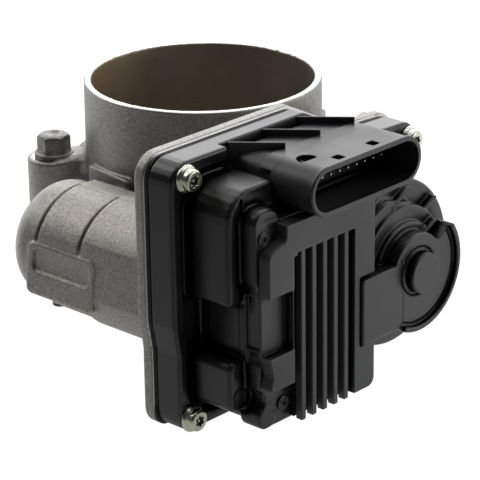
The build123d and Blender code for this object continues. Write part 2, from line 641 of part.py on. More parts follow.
def gear_cover():
    body = cover_solid() + disc_cap()
    body -= cover_hollow()
    # opening under the connector block and ribs tying it to the skirt
    root = stadium(CONN_Y, CONN_Z, CONN_HALF_W - 1.8, CONN_HALF_H - 0.7)
    conn = prism_x(root, FLOOR_X - 4, CONN_BACK_X)
    for k in range(3):
        y0 = CONN_Y - 27.0 + 16.0 * k
        body += rib(SKIRT_X - 3.5, y0, CONN_BACK_X + 1.0, y0 + 13.0)
    body += prism_x(rect_face(CONN_Y - 20, CONN_Y + 20, 58.0, CONN_Z, 2.0), FLOOR_X - 3, CONN_BACK_X)
    body -= conn
    body -= prism_x(stadium(CONN_Y, CONN_Z, CONN_HALF_W, CONN_HALF_H), CONN_BACK_X, CONN_FRONT_X)
    for y, z in COVER_SCREWS:
        body -= cyl_x(y, z, SCREW_D / 2 + 0.3, CASE_X - 1, SKIRT_X + 2)
    for y, z in DOWELS:
        body -= cyl_x(y, z, DOWEL_R, CASE_X, CASE_X + 5.0)
    for y, z in STAKE_PTS:
        body -= cyl_x(y, z, STAKE_R, STAKE_X - 1.6, STAKE_X + 1)
    return body


def rib(xa, ya, xb, yb):
    length = math.hypot(xb - xa, yb - ya)
    turn = math.degrees(math.atan2(yb - ya, xb - xa))
    blade = Box(length, 1.3, 7.0)
    return Pos((xa + xb) / 2, (ya + yb) / 2, CASE_TOP_Z - 5.4) * Rot(0, 0, turn) * blade


def connector_shell():
    root = stadium(CONN_Y, CONN_Z, CONN_HALF_W - 1.8, CONN_HALF_H - 0.7)
    back = prism_x(root, FLOOR_X - 4, CONN_BACK_X + 3)
    outer = prism_x(stadium(CONN_Y, CONN_Z, CONN_HALF_W, CONN_HALF_H), CONN_BACK_X, CONN_FRONT_X)
    inner = stadium(CONN_Y, CONN_Z, CONN_HALF_W - CONN_WALL, CONN_HALF_H - CONN_WALL)
    shell = outer - prism_x(inner, CONN_BACK_X + 3, CONN_FRONT_X + 1) + back
    top = CONN_Z + CONN_HALF_H
    for back, y, w in ((7.0, -14.25, 3.6), (3.0, -7.25, 2.6), (3.0, 8.75, 2.6)):
        x = CONN_FRONT_X - back
        y = CONN_Y + y
        shell -= box(x - w / 2, x + w / 2, y - w / 2, y + w / 2, top - 0.8, top + 1)
    for x, y, z in pin_places():
        shell -= box(x - 30, x + 30, y - 0.35, y + 0.35, z - 0.35, z + 0.35)
    return shell


def pin_places():
    spots = []
    for k in range(PIN_COUNT):
        y = CONN_Y + (k - (PIN_COUNT - 1) / 2) * PIN_PITCH
        spots.append((CONN_BACK_X, y, CONN_Z))
    return spots


def connector_pins():
    group = None
    for x, y, z in pin_places():
        pin = box(FLOOR_X - 6, CONN_FRONT_X - 6.5, y - 0.35, y + 0.35, z - 0.35, z + 0.35)
        group = pin if group is None else group + pin
    return group


def module_plate():
    face = rounded_polygon([
        (PANEL_L, PANEL_LOW, 2.0),
        (PANEL_R, PANEL_LOW, 3.0),
        (PANEL_R, LINK_LOW - 0.4, 0),
        (LINK_LEFT - 0.4, LINK_LOW - 0.4, 0),
        (LINK_LEFT - 0.4, LINK_TOP + 1.0, 0),
        (PANEL_R, LINK_TOP + 1.0, 0),
        (PANEL_R, PANEL_TOP, 2.0),
        (PANEL_L + 8.0, PANEL_TOP, 2.0),
        (PANEL_L + 8.0, 53.4, 2.2),
        (PANEL_L, 51.6, 2.2),
    ])
    plate = prism_x(face, STAKE_X, PANEL_X)
    for k in range(FIN_SLOTS):
        y1 = FIN_LAST - FIN_PITCH * (FIN_SLOTS - 1 - k)
        slot = box(STAKE_X + 1.0, PANEL_X + 1, y1 - FIN_SLOT, y1, PANEL_LOW - 1, FIN_TOP)
        plate -= slot
    plate -= box(STAKE_X + 1.0, PANEL_X + 1, PANEL_L - 1, PANEL_L + 10.5, 18.0, 37.5)
    plate -= box(STAKE_X - 1, PANEL_X + 1, PANEL_L - 1, PANEL_L + 14.2, PANEL_LOW - 1, 6.8)
    return plate


def cover_gasket():
    outer = prism_x(grown(rounded_polygon(OUTLINE), -1.2), CASE_X, CASE_X + GASKET_T)
    inner = prism_x(grown(rounded_polygon(OUTLINE), -4.2), CASE_X - 1, CASE_X + GASKET_T + 1)
    ring = outer - inner
    for y, z in COVER_SCREWS:
        ring += cyl_x(y, z, 5.0, CASE_X, CASE_X + GASKET_T)
    for y, z in COVER_SCREWS:
        ring -= cyl_x(y, z, SCREW_D / 2 + 0.3, CASE_X - 1, CASE_X + 2)
    return ring


def cover_screws():
    group = None
    for y, z in COVER_SCREWS:
        screw = cyl_x(y, z, SCREW_D / 2, CASE_BACK_X + 0.2, SKIRT_X + 0.5)
        screw += cyl_x(y, z, SCREW_FLANGE_D / 2, SKIRT_X, SKIRT_X + 1.2)
        screw += cyl_x(y, z, SCREW_HEAD_D / 2, SKIRT_X + 1.2, SKIRT_X + 4.0)
        screw -= cyl_x(y, z, 1.7, SKIRT_X + 1.9, SKIRT_X + 5)
        screw += cyl_x(y, z, 0.5, SKIRT_X + 1.9, SKIRT_X + 3.4)
        group = screw if group is None else group + screw
    return group


def manifold_bolts():
    group = None
    half = BOLT_SPACING / 2
    hexagon = extrude(RegularPolygon(10.0 / 2, 6, major_radius=False), amount=6.4)
    for sx in (-1, 1):
        for sy in (-1, 1):
            x = sx * half
            y = sy * half
            bolt = cyl_z(x, y, BOLT_D / 2, -BOLT_BELOW, BOLT_THREAD_TOP)
            bolt += cyl_z(x, y, BOLT_SHANK_D / 2, BOLT_THREAD_TOP, SEAT_Z + 0.5)
            bolt += cyl_z(x, y, 6.7, SEAT_Z, SEAT_Z + 1.6)
            bolt += Pos(x, y, SEAT_Z + 1.6) * Rot(0, 0, 17) * hexagon
            group = bolt if group is None else group + bolt
    return group


def control_board():
    return box(BOX_X - 1.5, BOX_X, PANEL_L + 4.0, PANEL_R - 3.0, 3.5, 55.5)


def board_chips():
    left = PANEL_L + 9.5
    group = box(BOX_X, BOX_X + 2.5, left, left + 12, 34, 46)
    group += box(BOX_X, BOX_X + 2.0, left + 18, left + 28, 16, 26)
    group += box(BOX_X, BOX_X + 3.5, left, left + 6, 12, 22)
    return group


def heat_stakes():
    group = None
    for y, z in STAKE_PTS:
        stake = cyl_x(y, z, STAKE_R, STAKE_X - 1.6, STAKE_X)
        stake += cyl_x(y, z, 2.4, STAKE_X, STAKE_X + 0.7)
        stake -= cyl_x(y, z, 0.7, STAKE_X + 0.2, STAKE_X + 1)
        group = stake if group is None else group + stake
    return group


def dowels():
    group = None
    for y, z in DOWELS:
        pin = cyl_x(y, z, DOWEL_R, CASE_BACK_X + 1.0, CASE_X + 5.0)
        group = pin if group is None else group + pin
    return group


def main():
    os.makedirs("parts", exist_ok=True)
    write("throttle_housing", throttle_housing())
    write("gear_cover", gear_cover())
    write("module_plate", module_plate())
    write("connector_shell", connector_shell())
    write("connector_pins", connector_pins())
    write("cover_gasket", cover_gasket())
    write("cover_screws", cover_screws())
    write("manifold_bolts", manifold_bolts())
    write("throttle_plate", throttle_plate())
    write("throttle_shaft", throttle_shaft())
    write("plate_screws", plate_screws())
    write("retaining_ring", retaining_ring())
    write("ball_bearing", ball_bearing())
    write("needle_bearing", needle_bearing())
    write("shaft_seals", shaft_seals())
    write("shaft_end_plug", shaft_end_plug())
    write("return_spring", return_spring())
    write("spring_bush", spring_bush())
    write("sector_gear", sector_gear())
    write("sensor_rotor", sensor_rotor())
    write("idler_gear", idler_gear())
    write("idler_pin", idler_pin())
    write("motor_can", motor_can())
    write("motor_magnets", motor_magnets())
    write("motor_armature", motor_armature())
    write("motor_end_plate", motor_end_plate())
    write("motor_terminals", motor_terminals())
    write("motor_screws", motor_screws())
    write("motor_pinion", motor_pinion())
    write("wave_washer", wave_washer())
    write("control_board", control_board())
    write("board_chips", board_chips())
    write("heat_stakes", heat_stakes())
    write("dowels", dowels())


if __name__ == "__main__":
    main()
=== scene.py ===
import math

import bpy
import numpy as np
from mathutils import Matrix, Vector


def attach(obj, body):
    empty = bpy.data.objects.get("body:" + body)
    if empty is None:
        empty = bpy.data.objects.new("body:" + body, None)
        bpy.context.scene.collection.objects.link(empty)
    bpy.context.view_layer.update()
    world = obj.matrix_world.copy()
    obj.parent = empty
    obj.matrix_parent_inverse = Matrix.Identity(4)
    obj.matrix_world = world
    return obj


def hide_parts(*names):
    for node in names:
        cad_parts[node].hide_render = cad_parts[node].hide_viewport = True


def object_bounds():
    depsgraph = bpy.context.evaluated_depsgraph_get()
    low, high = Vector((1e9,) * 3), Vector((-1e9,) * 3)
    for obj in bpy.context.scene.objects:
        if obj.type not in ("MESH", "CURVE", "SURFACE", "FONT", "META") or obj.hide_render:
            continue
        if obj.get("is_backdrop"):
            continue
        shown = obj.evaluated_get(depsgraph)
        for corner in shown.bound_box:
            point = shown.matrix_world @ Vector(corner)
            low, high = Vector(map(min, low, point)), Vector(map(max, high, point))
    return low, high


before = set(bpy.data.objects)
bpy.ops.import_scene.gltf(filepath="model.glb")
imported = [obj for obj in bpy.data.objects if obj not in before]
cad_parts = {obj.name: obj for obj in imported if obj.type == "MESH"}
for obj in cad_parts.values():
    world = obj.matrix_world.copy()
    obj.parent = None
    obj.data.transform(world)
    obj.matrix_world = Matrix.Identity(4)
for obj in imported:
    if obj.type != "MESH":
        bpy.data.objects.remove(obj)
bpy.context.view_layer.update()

bl_info = {
    "name": "Throttle body builder",
    "version": (1, 0, 0),
    "blender": (4, 5, 0),
    "location": "3D View > Sidebar > Throttle body",
    "description": "Builds the castings, mouldings, fasteners and stage of a throttle body",
    "category": "Object",
}

MM = 0.001

# ---- places of the part, in millimetres, in the frame of the CAD model ----
COLLAR_R = 40.0
BORE_R = 37.5
RIM_Z = 72.0
BODY_R = 43.0
LUG_AT = 36.0
LUG_R = 9.0
LUGS = [(sx * LUG_AT, sy * LUG_AT) for sx in (-1, 1) for sy in (-1, 1)]
SEAT_Z = 45.0
SHAFT_Z = 26.0
SHAFT_R = 5.0
MOTOR_Y = -58.5
MOTOR_Z = 28.5
MOTOR_R = 17.4
HOUSING_R = 21.0
MOTOR_FAR_X = -12.0
BAND_X = (0.0, 20.0)
GROOVE_WIDE = 1.7
GROOVE_DEEP = 0.75
CASE_BACK_X = 51.0
CASE_X = 55.0
SKIRT_BACK_X = 55.8
SKIRT_X = 66.0
FLOOR_X = 64.0
FOOT_X = FLOOR_X - 3.0
BOX_X = 82.0
STAKE_X = 88.0
PANEL_X = 92.5
DISC_X = 93.5
CASE_OUTLINE = [
    (-84.0, 78.0, 8.0),
    (-84.0, 24.5, 6.0),
    (-82.3, 15.0, 6.0),
    (-82.3, -12.0, 6.5),
    (33.0, -12.0, 10.0),
    (33.0, 63.5, 7.0),
    (8.0, 64.5, 10.0),
    (-19.0, 78.0, 6.0),
]
COVER_SCREWS = [(-77.0, 72.0), (-77.0, -6.5), (27.8, 57.0), (26.5, -5.5)]
DOWELS = [(-77.0, 56.0), (26.5, 8.0)]
IDLER = (-33.957, 23.4855)
SOCKET_Y = -30.75
SOCKET_Z = 67.5
SOCKET_HALF_W = 25.8
SOCKET_HALF_H = 7.9
SOCKET_BACK_X = 80.0
SOCKET_FRONT_X = 98.0
SOCKET_WALL = 1.6
SOCKET_ROOF_X = 75.4
PIN_COUNT = 10
PIN_PITCH = 4.0
PANEL_L = -69.5
PANEL_R = -20.5
PANEL_LOW = -6.8
PANEL_TOP = 59.0
FIN_TOP = 49.1
FIN_PITCH = 5.0
FIN_GAP = 3.0
FIN_COUNT = 5
FIN_FIRST_Y = -55.2
LINK_LEFT = -27.2
LINK_LOW = 8.8
LINK_TOP = 30.8
STAKES = [(-67.2, 55.4), (-59.3, -0.7)]
DISC_R = 20.0
DOME_R = 28.0
FACE_BACK_X = 84.0


# ------------------------------------------------------------------ settings
def length(name, text, value):
    return bpy.props.FloatProperty(name=name, description=text, default=value, unit="LENGTH")


def tint(name, text, value):
    return bpy.props.FloatVectorProperty(
        name=name, description=text, default=value, subtype="COLOR", size=3, min=0.0, max=1.0
    )


class ThrottleSizes(bpy.types.PropertyGroup):
    """Sizes of the sculpted pieces."""

    casting_step: length("Casting cell", "Sampling cell of the sand casting", 0.6 * MM)
    cover_step: length("Cover cell", "Sampling cell of the moulded cover", 0.45 * MM)
    small_step: length("Small cell", "Sampling cell of the socket and panel", 0.32 * MM)
    casting_fillet: length("Casting fillet", "Fillet where cast shapes meet", 3.0 * MM)
    casting_edge: length("Casting edge", "Rounding of the cast edges", 0.7 * MM)
    cover_fillet: length("Cover fillet", "Fillet at the foot of moulded blocks", 1.0 * MM)
    cover_edge: length("Cover edge", "Rounding of the moulded edges", 1.1 * MM)
    step_height: length("Band step", "Height of the steps round the motor housing", 0.9 * MM)
    grain: length("Sand grain", "Size of one grain of the cast skin", 0.45 * MM)


class ThrottleFinish(bpy.types.PropertyGroup):
    """Colours of the finishes."""

    cast_light: tint("Cast light", "Light tone of the cast aluminium", (0.50, 0.49, 0.465))
    cast_dark: tint("Cast dark", "Dark tone of the cast aluminium", (0.345, 0.335, 0.315))
    machined: tint("Machined", "Tone of the machined rims", (0.78, 0.775, 0.76))
    bored: tint("Bored", "Tone of the bored duct", (0.40, 0.365, 0.31))
    plastic: tint("Black plastic", "Tone of the moulded cover", (0.010, 0.010, 0.0108))
    panel: tint("Panel", "Tone of the ribbed module panel", (0.030, 0.031, 0.034))
    zinc: tint("Zinc", "Tone of the bright plated screws", (0.80, 0.83, 0.74))
    bolt: tint("Bolt", "Tone of the dull flange bolts", (0.30, 0.30, 0.285))


def angle(name, text, degrees):
    value = math.radians(degrees)
    return bpy.props.FloatProperty(name=name, description=text, default=value, subtype="ANGLE")


def number(name, text, value, unit):
    return bpy.props.FloatProperty(name=name, description=text, default=value, unit=unit)


class ThrottleStage(bpy.types.PropertyGroup):
    """Camera and lights."""

    azimuth: angle("Azimuth", "Camera turn round the bore", 43.0)
    elevation: angle("Elevation", "Camera height angle", 21.44)
    roll: angle("Roll", "Camera roll", -0.84)
    distance: length("Distance", "Camera distance from the aim point", 807.0 * MM)
    lens: number("Lens", "Focal length on a 36 mm sensor", 180.15, "CAMERA")
    key: number("Key", "Power of the key light", 2.6, "POWER")
    fill: number("Fill", "Power of the fill light", 1.6, "POWER")


# ------------------------------------------------------------------ outlines
class Outline:
    """A flat shape: signed distance over two axes, and its box."""

    def __init__(self, distance, low, high):
        self.distance = distance
        self.low = low
        self.high = high


def circle(u, v, r):
    def distance(a, b):
        return np.sqrt((a - u) ** 2 + (b - v) ** 2) - r

    return Outline(distance, (u - r, v - r), (u + r, v + r))


def rounded_rect(u0, u1, v0, v1, r=0.0):
    cu, cv = (u0 + u1) / 2, (v0 + v1) / 2
    hu, hv = (u1 - u0) / 2 - r, (v1 - v0) / 2 - r

    def distance(a, b):
        p = np.abs(a - cu) - hu
        q = np.abs(b - cv) - hv
        outside = np.sqrt(np.maximum(p, 0) ** 2 + np.maximum(q, 0) ** 2)
        return outside + np.minimum(np.maximum(p, q), 0) - r

    return Outline(distance, (u0, v0), (u1, v1))


def corner_points(points, steps=6):
    """Corner points (a, b, radius) as a plain closed polygon with sampled arcs."""
    out = []
    n = len(points)
    for i in range(n):
        a, b, r = points[i]
        here = Vector((a, b))
        back = (Vector(points[i - 1][:2]) - here).normalized()
        ahead = (Vector(points[(i + 1) % n][:2]) - here).normalized()
        if r <= 0:
            out.append((a, b))
            continue
        half = back.angle(ahead) / 2
        reach = r / math.tan(half)
        centre = here + (back + ahead).normalized() * (r / math.sin(half))
        start = here + back * reach - centre
        end = here + ahead * reach - centre
        sweep = start.angle_signed(end)
        for k in range(steps + 1):
            t = -sweep * k / steps
            c, s = math.cos(t), math.sin(t)
            out.append((centre.x + start.x * c - start.y * s, centre.y + start.x * s + start.y * c))
    return out


def polygon(points, steps=6):
    ring = corner_points(points, steps)
    low = (min(p[0] for p in ring), min(p[1] for p in ring))
    high = (max(p[0] for p in ring), max(p[1] for p in ring))

    def distance(a, b):
        a, b = np.broadcast_arrays(a, b)
        best = np.full(a.shape, 1e6, np.float32)
        inside = np.zeros(a.shape, bool)
        for (x0, y0), (x1, y1) in zip(ring, ring[1:] + ring[:1]):
            ex, ey = x1 - x0, y1 - y0
            if ex * ex + ey * ey < 1e-9:
                continue
            t = np.clip(((a - x0) * ex + (b - y0) * ey) / (ex * ex + ey * ey), 0, 1)
            best = np.minimum(best, (a - x0 - t * ex) ** 2 + (b - y0 - t * ey) ** 2)
            if y0 != y1:
                crosses = (b >= min(y0, y1)) & (b < max(y0, y1)) & (a < x0 + (b - y0) * ex / ey)
                inside ^= crosses
        return np.where(inside, -1, 1) * np.sqrt(best)

    return Outline(distance, low, high)


def grown(shape, amount):
    low = tuple(c - amount for c in shape.low)
    high = tuple(c + amount for c in shape.high)
    return Outline(lambda a, b: shape.distance(a, b) - amount, low, high)


def joined(one, two, blend=0.0):
    low = tuple(map(min, one.low, two.low))
    high = tuple(map(max, one.high, two.high))

    def distance(a, b):
        return soft_min(one.distance(a, b), two.distance(a, b), blend)

    return Outline(distance, low, high)


def without(one, two, blend=0.0):
    def distance(a, b):
        return soft_max(one.distance(a, b), -two.distance(a, b), blend)

    return Outline(distance, one.low, one.high)


# ------------------------------------------------------------------ solids
def soft_min(a, b, r):
    if r <= 0:
        return np.minimum(a, b)
    bend = np.sqrt(np.maximum(r - a, 0) ** 2 + np.maximum(r - b, 0) ** 2)
    return np.maximum(r, np.minimum(a, b)) - bend


def soft_max(a, b, r):
    return -soft_min(-a, -b, r)


def rounded_rim(flat, along, r):
    u = flat + r
    v = along + r
    outside = np.sqrt(np.maximum(u, 0) ** 2 + np.maximum(v, 0) ** 2)
    return outside + np.minimum(np.maximum(u, v), 0) - r


class Solid:
    """A solid: signed distance over x, y and z, and its box."""

    def __init__(self, distance, low, high):
        self.distance = distance
        self.low = low
        self.high = high


def prism(axis, shape, a, b, edge=0.0, draft=0.0):
    """An outline pulled along one axis from a to b; draft narrows it towards b."""
    i = "xyz".index(axis)
    j, k = [n for n in range(3) if n != i]
    mid, half = (a + b) / 2, (b - a) / 2
    low, high = [0.0] * 3, [0.0] * 3
    low[i], high[i] = a, b
    low[j], low[k] = shape.low
    high[j], high[k] = shape.high

    def distance(p):
        flat = shape.distance(p[j], p[k])
        if draft:
            flat = flat + draft * (p[i] - a)
        return rounded_rim(flat, np.abs(p[i] - mid) - half, edge)

    return Solid(distance, low, high)


def bar(axis, u, v, r, a, b, edge=0.0, draft=0.0):
    return prism(axis, circle(u, v, r), a, b, edge, draft)


def brick(x0, x1, y0, y1, z0, z1, corner=0.0, edge=0.0, axis="x"):
    if axis == "x":
        return prism("x", rounded_rect(y0, y1, z0, z1, corner), x0, x1, edge)
    if axis == "y":
        return prism("y", rounded_rect(x0, x1, z0, z1, corner), y0, y1, edge)
    return prism("z", rounded_rect(x0, x1, y0, y1, corner), z0, z1, edge)


def placed(solid, matrix):
    """A solid turned and moved by a matrix."""
    back = np.array(matrix.inverted(), np.float32)
    corners = [
        matrix @ Vector((x, y, z))
        for x in (solid.low[0], solid.high[0])
        for y in (solid.low[1], solid.high[1])
        for z in (solid.low[2], solid.high[2])
    ]
    low = [min(c[i] for c in corners) for i in range(3)]
    high = [max(c[i] for c in corners) for i in range(3)]

    def distance(p):
        q = []
        for row in back[:3]:
            total = row[3]
            for i in range(3):
                if abs(row[i]) > 1e-9:
                    total = total + row[i] * p[i]
            q.append(total)
        return solid.distance([np.asarray(c, np.float32) for c in q])

    return Solid(distance, low, high)


def ball(x, y, z, r):
    def distance(p):
        return np.sqrt((p[0] - x) ** 2 + (p[1] - y) ** 2 + (p[2] - z) ** 2) - r

    return Solid(distance, [x - r, y - r, z - r], [x + r, y + r, z + r])


def slab(point, normal, low, high):
    """The half space in front of a plane, kept to a box."""
    n = Vector(normal).normalized()

    def distance(p):
        return -((p[0] - point[0]) * n.x + (p[1] - point[1]) * n.y + (p[2] - point[2]) * n.z)

    return Solid(distance, low, high)


# ------------------------------------------------------------------ sampled block
class Block:
    """Distances to the skin of a casting or moulding, sampled in millimetres."""

    def __init__(self, low, high, step):
        self.step = step
        self.low = np.array(low, np.float64)
        self.count = [int(math.ceil((b - a) / step)) + 1 for a, b in zip(low, high)]
        self.d = np.full(self.count, 9.0, np.float32)
        self.axes = [
            (start + step * np.arange(n)).astype(np.float32) for start, n in zip(low, self.count)
        ]

    def window(self, solid, margin):
        cut, grid = [], []
        for i in range(3):
            a = int((solid.low[i] - margin - self.low[i]) / self.step)
            b = int((solid.high[i] + margin - self.low[i]) / self.step) + 2
            a, b = max(0, a), min(self.count[i], b)
            if b <= a:
                return None, None
            shape = [1, 1, 1]
            shape[i] = b - a
            cut.append(slice(a, b))
            grid.append(self.axes[i][a:b].reshape(shape))
        return tuple(cut), grid

    def add(self, solid, blend=0.0):
        cut, grid = self.window(solid, blend + 4 * self.step)
        if cut:
            self.d[cut] = soft_min(self.d[cut], solid.distance(grid), blend)
        return self

    def cut(self, solid, blend=0.0):
        cut, grid = self.window(solid, blend + 4 * self.step)
        if cut:
            self.d[cut] = soft_max(self.d[cut], -solid.distance(grid), blend)
        return self

    def sample(self, points):
        q = (points - self.low) / self.step
        top = np.array(self.count) - 2
        i = np.clip(np.floor(q).astype(int), 0, top)
        f = np.clip(q - i, 0, 1)
        total = 0.0
        for dx in (0, 1):
            wx = f[:, 0] if dx else 1 - f[:, 0]
            for dy in (0, 1):
                wy = f[:, 1] if dy else 1 - f[:, 1]
                for dz in (0, 1):
                    wz = f[:, 2] if dz else 1 - f[:, 2]
                    total = total + wx * wy * wz * self.d[i[:, 0] + dx, i[:, 1] + dy, i[:, 2] + dz]
        return total

    def slope(self, points):
        h = 0.6 * self.step
        out = np.empty(points.shape)
        for i in range(3):
            move = np.zeros(3)
            move[i] = h
            out[:, i] = self.sample(points + move) - self.sample(points - move)
        return out / np.maximum(np.linalg.norm(out, axis=1, keepdims=True), 1e-9)

    def skin(self):
        """Points and quads of the zero surface, one point for each crossed cell."""
        inside = self.d < 0
        nx, ny, nz = [n - 1 for n in self.count]
        total = np.zeros((nx, ny, nz), np.int8)
        for dx in (0, 1):
            for dy in (0, 1):
                for dz in (0, 1):
                    total += inside[dx : dx + nx, dy : dy + ny, dz : dz + nz]
        mixed = (total > 0) & (total < 8)
        cells = np.argwhere(mixed)
        number = np.full(mixed.shape, -1, np.int32)
        number[mixed] = np.arange(len(cells))
        corners = [(a, b, c) for a in (0, 1) for b in (0, 1) for c in (0, 1)]
        value = {c: self.d[cells[:, 0] + c[0], cells[:, 1] + c[1], cells[:, 2] + c[2]] for c in corners}
        place = np.zeros((len(cells), 3))
        hits = np.zeros(len(cells))
        for c in corners:
            for axis in range(3):
                if c[axis]:
                    continue
                e = list(c)
                e[axis] = 1
                a, b = value[c], value[tuple(e)]
                crossed = (a < 0) != (b < 0)
                t = np.where(crossed, a / np.where(crossed, a - b, 1), 0)
                for i in range(3):
                    place[:, i] += np.where(crossed, c[i] + (t if i == axis else 0), 0)
                hits += crossed
        points = self.low + self.step * (cells + place / hits[:, None])
        for _ in range(2):
            move = np.clip(self.sample(points), -0.4 * self.step, 0.4 * self.step)
            points -= move[:, None] * self.slope(points)
        quads = []
        for axis in range(3):
            j, k = [n for n in range(3) if n != axis]
            first = [slice(None)] * 3
            second = [slice(None)] * 3
            first[axis] = slice(0, -1)
            second[axis] = slice(1, None)
            for n in (j, k):
                first[n] = slice(1, -1)
                second[n] = slice(1, -1)
            a = inside[tuple(first)]
            b = inside[tuple(second)]
            at = np.argwhere(a != b)
            at[:, j] += 1
            at[:, k] += 1
            starts = a[a != b]
            ring = []
            for dj, dk in ((-1, -1), (0, -1), (0, 0), (-1, 0)):
                cell = at.copy()
                cell[:, j] += dj
                cell[:, k] += dk
                ring.append(number[cell[:, 0], cell[:, 1], cell[:, 2]])
            ring = np.stack(ring, 1)
            flip = starts if axis != 1 else ~starts
            ring[~flip] = ring[~flip][:, ::-1]
            quads.append(ring)
        return points, np.concatenate(quads)


# ------------------------------------------------------------------ mesh helpers
def link(mesh, name):
    obj = bpy.data.objects.new(name, mesh)
    bpy.context.scene.collection.objects.link(obj)
    return obj


def mesh_from(points, faces, name):
    """A mesh in metres from millimetre points and equal-sized faces."""
    mesh = bpy.data.meshes.new(name)
    faces = np.asarray(faces, np.int32)
    mesh.vertices.add(len(points))
    mesh.vertices.foreach_set("co", (np.asarray(points) * MM).astype(np.float32).ravel())
    mesh.loops.add(faces.size)
    mesh.loops.foreach_set("vertex_index", faces.ravel())
    mesh.polygons.add(len(faces))
    mesh.polygons.foreach_set("loop_start", np.arange(0, faces.size, faces.shape[1], dtype=np.int32))
    mesh.update(calc_edges=True)
    mesh.validate()
    return mesh


def frozen(obj, name):
    """Replaces an object by the plain mesh of its evaluated result."""
    graph = bpy.context.evaluated_depsgraph_get()
    mesh = bpy.data.meshes.new_from_object(obj.evaluated_get(graph))
    mesh.name = name
    bpy.data.objects.remove(obj, do_unlink=True)
    return link(mesh, name)


def vertex_places(mesh):
    at = np.empty(3 * len(mesh.vertices), np.float32)
    mesh.vertices.foreach_get("co", at)
    return at.reshape(-1, 3)


def set_shading(mesh, block, points):
    """Smooth normals and the edge, nook and shut readings, all from the sampled block; nook and shut
    are the masks of the painted shade in the finishes.
    """
    mesh.polygons.foreach_set("use_smooth", np.ones(len(mesh.polygons), bool))
    normals = block.slope(points)
    mesh.normals_split_custom_set_from_vertices(normals.tolist())
    edge = np.clip((block.sample(points - 1.3 * normals) + 1.3) / 1.3, 0, 1)
    # nook: how hollow the skin is here; mask of painted shade in concave places
    nook = np.clip((1.6 - block.sample(points + 1.6 * normals)) / 1.6, 0, 1)
    # shut: how closed off each point is, read outwards like ambient occlusion; mask of painted shade
    open_sky = np.zeros(len(points))
    for reach in (2.5, 5.0, 8.5):
        ahead = points + reach * normals
        top = block.low + block.step * (np.array(block.count) - 1)
        past = np.linalg.norm(ahead - np.clip(ahead, block.low, top), axis=1)
        open_sky += np.clip((block.sample(ahead) + past) / reach, 0, 1) / 3
    for name, data in (("edge", edge), ("nook", nook), ("shut", 1.0 - open_sky)):
        layer = mesh.attributes.new(name, "FLOAT", "POINT")
        layer.data.foreach_set("value", data.astype(np.float32))


def moulded(block, name, triangles):
    """The block's skin as an object, thinned to about a number of triangles."""
    points, quads = block.skin()
    obj = link(mesh_from(points, quads, name), name)
    if 2 * len(quads) > triangles:
        thin = obj.modifiers.new("thin", "DECIMATE")
        thin.ratio = triangles / (2 * len(quads))
        obj = frozen(obj, name)
    set_shading(obj.data, block, vertex_places(obj.data).astype(np.float64) / MM)
    return obj


def shut_in(mesh, test, value):
    """Raises the shut-in reading, and with it the painted shade, where other pieces close a place off.
    """
    data = np.empty(len(mesh.vertices), np.float32)
    mesh.attributes["shut"].data.foreach_get("value", data)
    data[test(vertex_places(mesh) / MM)] = value
    mesh.attributes["shut"].data.foreach_set("value", data)


def face_frames(mesh):
    """Centres in millimetres and normals of the faces."""
    centre = np.empty(3 * len(mesh.polygons), np.float32)
    normal = np.empty(3 * len(mesh.polygons), np.float32)
    mesh.polygons.foreach_get("center", centre)
    mesh.polygons.foreach_get("normal", normal)
    return centre.reshape(-1, 3) / MM, normal.reshape(-1, 3)


def adder(tree):
    """A function that adds a node to a tree, with its inputs wired or set."""

    def add(kind, inputs=None, **settings):
        node = tree.nodes.new(kind)
        for key, value in settings.items():
            setattr(node, key, value)
        for key, value in (inputs or {}).items():
            if isinstance(value, bpy.types.NodeSocket):
                tree.links.new(value, node.inputs[key])
            else:
                node.inputs[key].default_value = value
        return node

    return add


def spread_tree(name, in_line):
    """Geometry Nodes that set a piece on points: a line of them, or the mesh's own."""
    tree = bpy.data.node_groups.new(name, "GeometryNodeTree")
    sockets = {"Geometry": "Geometry", "Piece": "Object", "Finish": "Material"}
    if in_line:
        sockets.update({"Count": "Int", "Start": "Vector", "Offset": "Vector"})
    for label, kind in sockets.items():
        tree.interface.new_socket(label, in_out="INPUT", socket_type="NodeSocket" + kind)
    tree.interface.new_socket("Geometry", in_out="OUTPUT", socket_type="NodeSocketGeometry")
    add = adder(tree)
    entry = add("NodeGroupInput").outputs
    info = add("GeometryNodeObjectInfo", {"Object": entry["Piece"]}).outputs
    inputs = {"Points": entry["Geometry"], "Instance": info["Geometry"]}
    if in_line:
        ends = {"Count": entry["Count"], "Start Location": entry["Start"], "Offset": entry["Offset"]}
        inputs["Points"] = add("GeometryNodeMeshLine", ends, mode="OFFSET").outputs["Mesh"]
    else:
        turn = add("GeometryNodeInputNamedAttribute", {"Name": "turn"}, data_type="FLOAT_VECTOR")
        inputs["Rotation"] = turn.outputs["Attribute"]
    spread = add("GeometryNodeInstanceOnPoints", inputs).outputs
    real = add("GeometryNodeRealizeInstances", {"Geometry": spread["Instances"]}).outputs
    inputs = {"Geometry": real["Geometry"], "Material": entry["Finish"]}
    coated = add("GeometryNodeSetMaterial", inputs).outputs
    add("NodeGroupOutput", {"Geometry": coated["Geometry"]})
    return tree


def run_tree(name, tree, values, mesh):
    obj = link(mesh, name)
    mod = obj.modifiers.new("repeat", "NODES")
    mod.node_group = tree
    for item in tree.interface.items_tree:
        if item.in_out == "INPUT" and item.name in values:
            mod[item.identifier] = values[item.name]
    obj = frozen(obj, name)
    bpy.data.objects.remove(values["Piece"], do_unlink=True)
    if not obj.data.materials:
        obj.data.materials.append(values["Finish"])
    return obj


def repeated(name, source, start, offset, count, material):
    """Sets one made piece on a line of points and freezes the result."""
    values = {"Piece": source, "Finish": material, "Count": count}
    values["Start"] = [c * MM for c in start]
    values["Offset"] = [c * MM for c in offset]
    return run_tree(name, spread_tree(name + "_line", True), values, bpy.data.meshes.new(name))


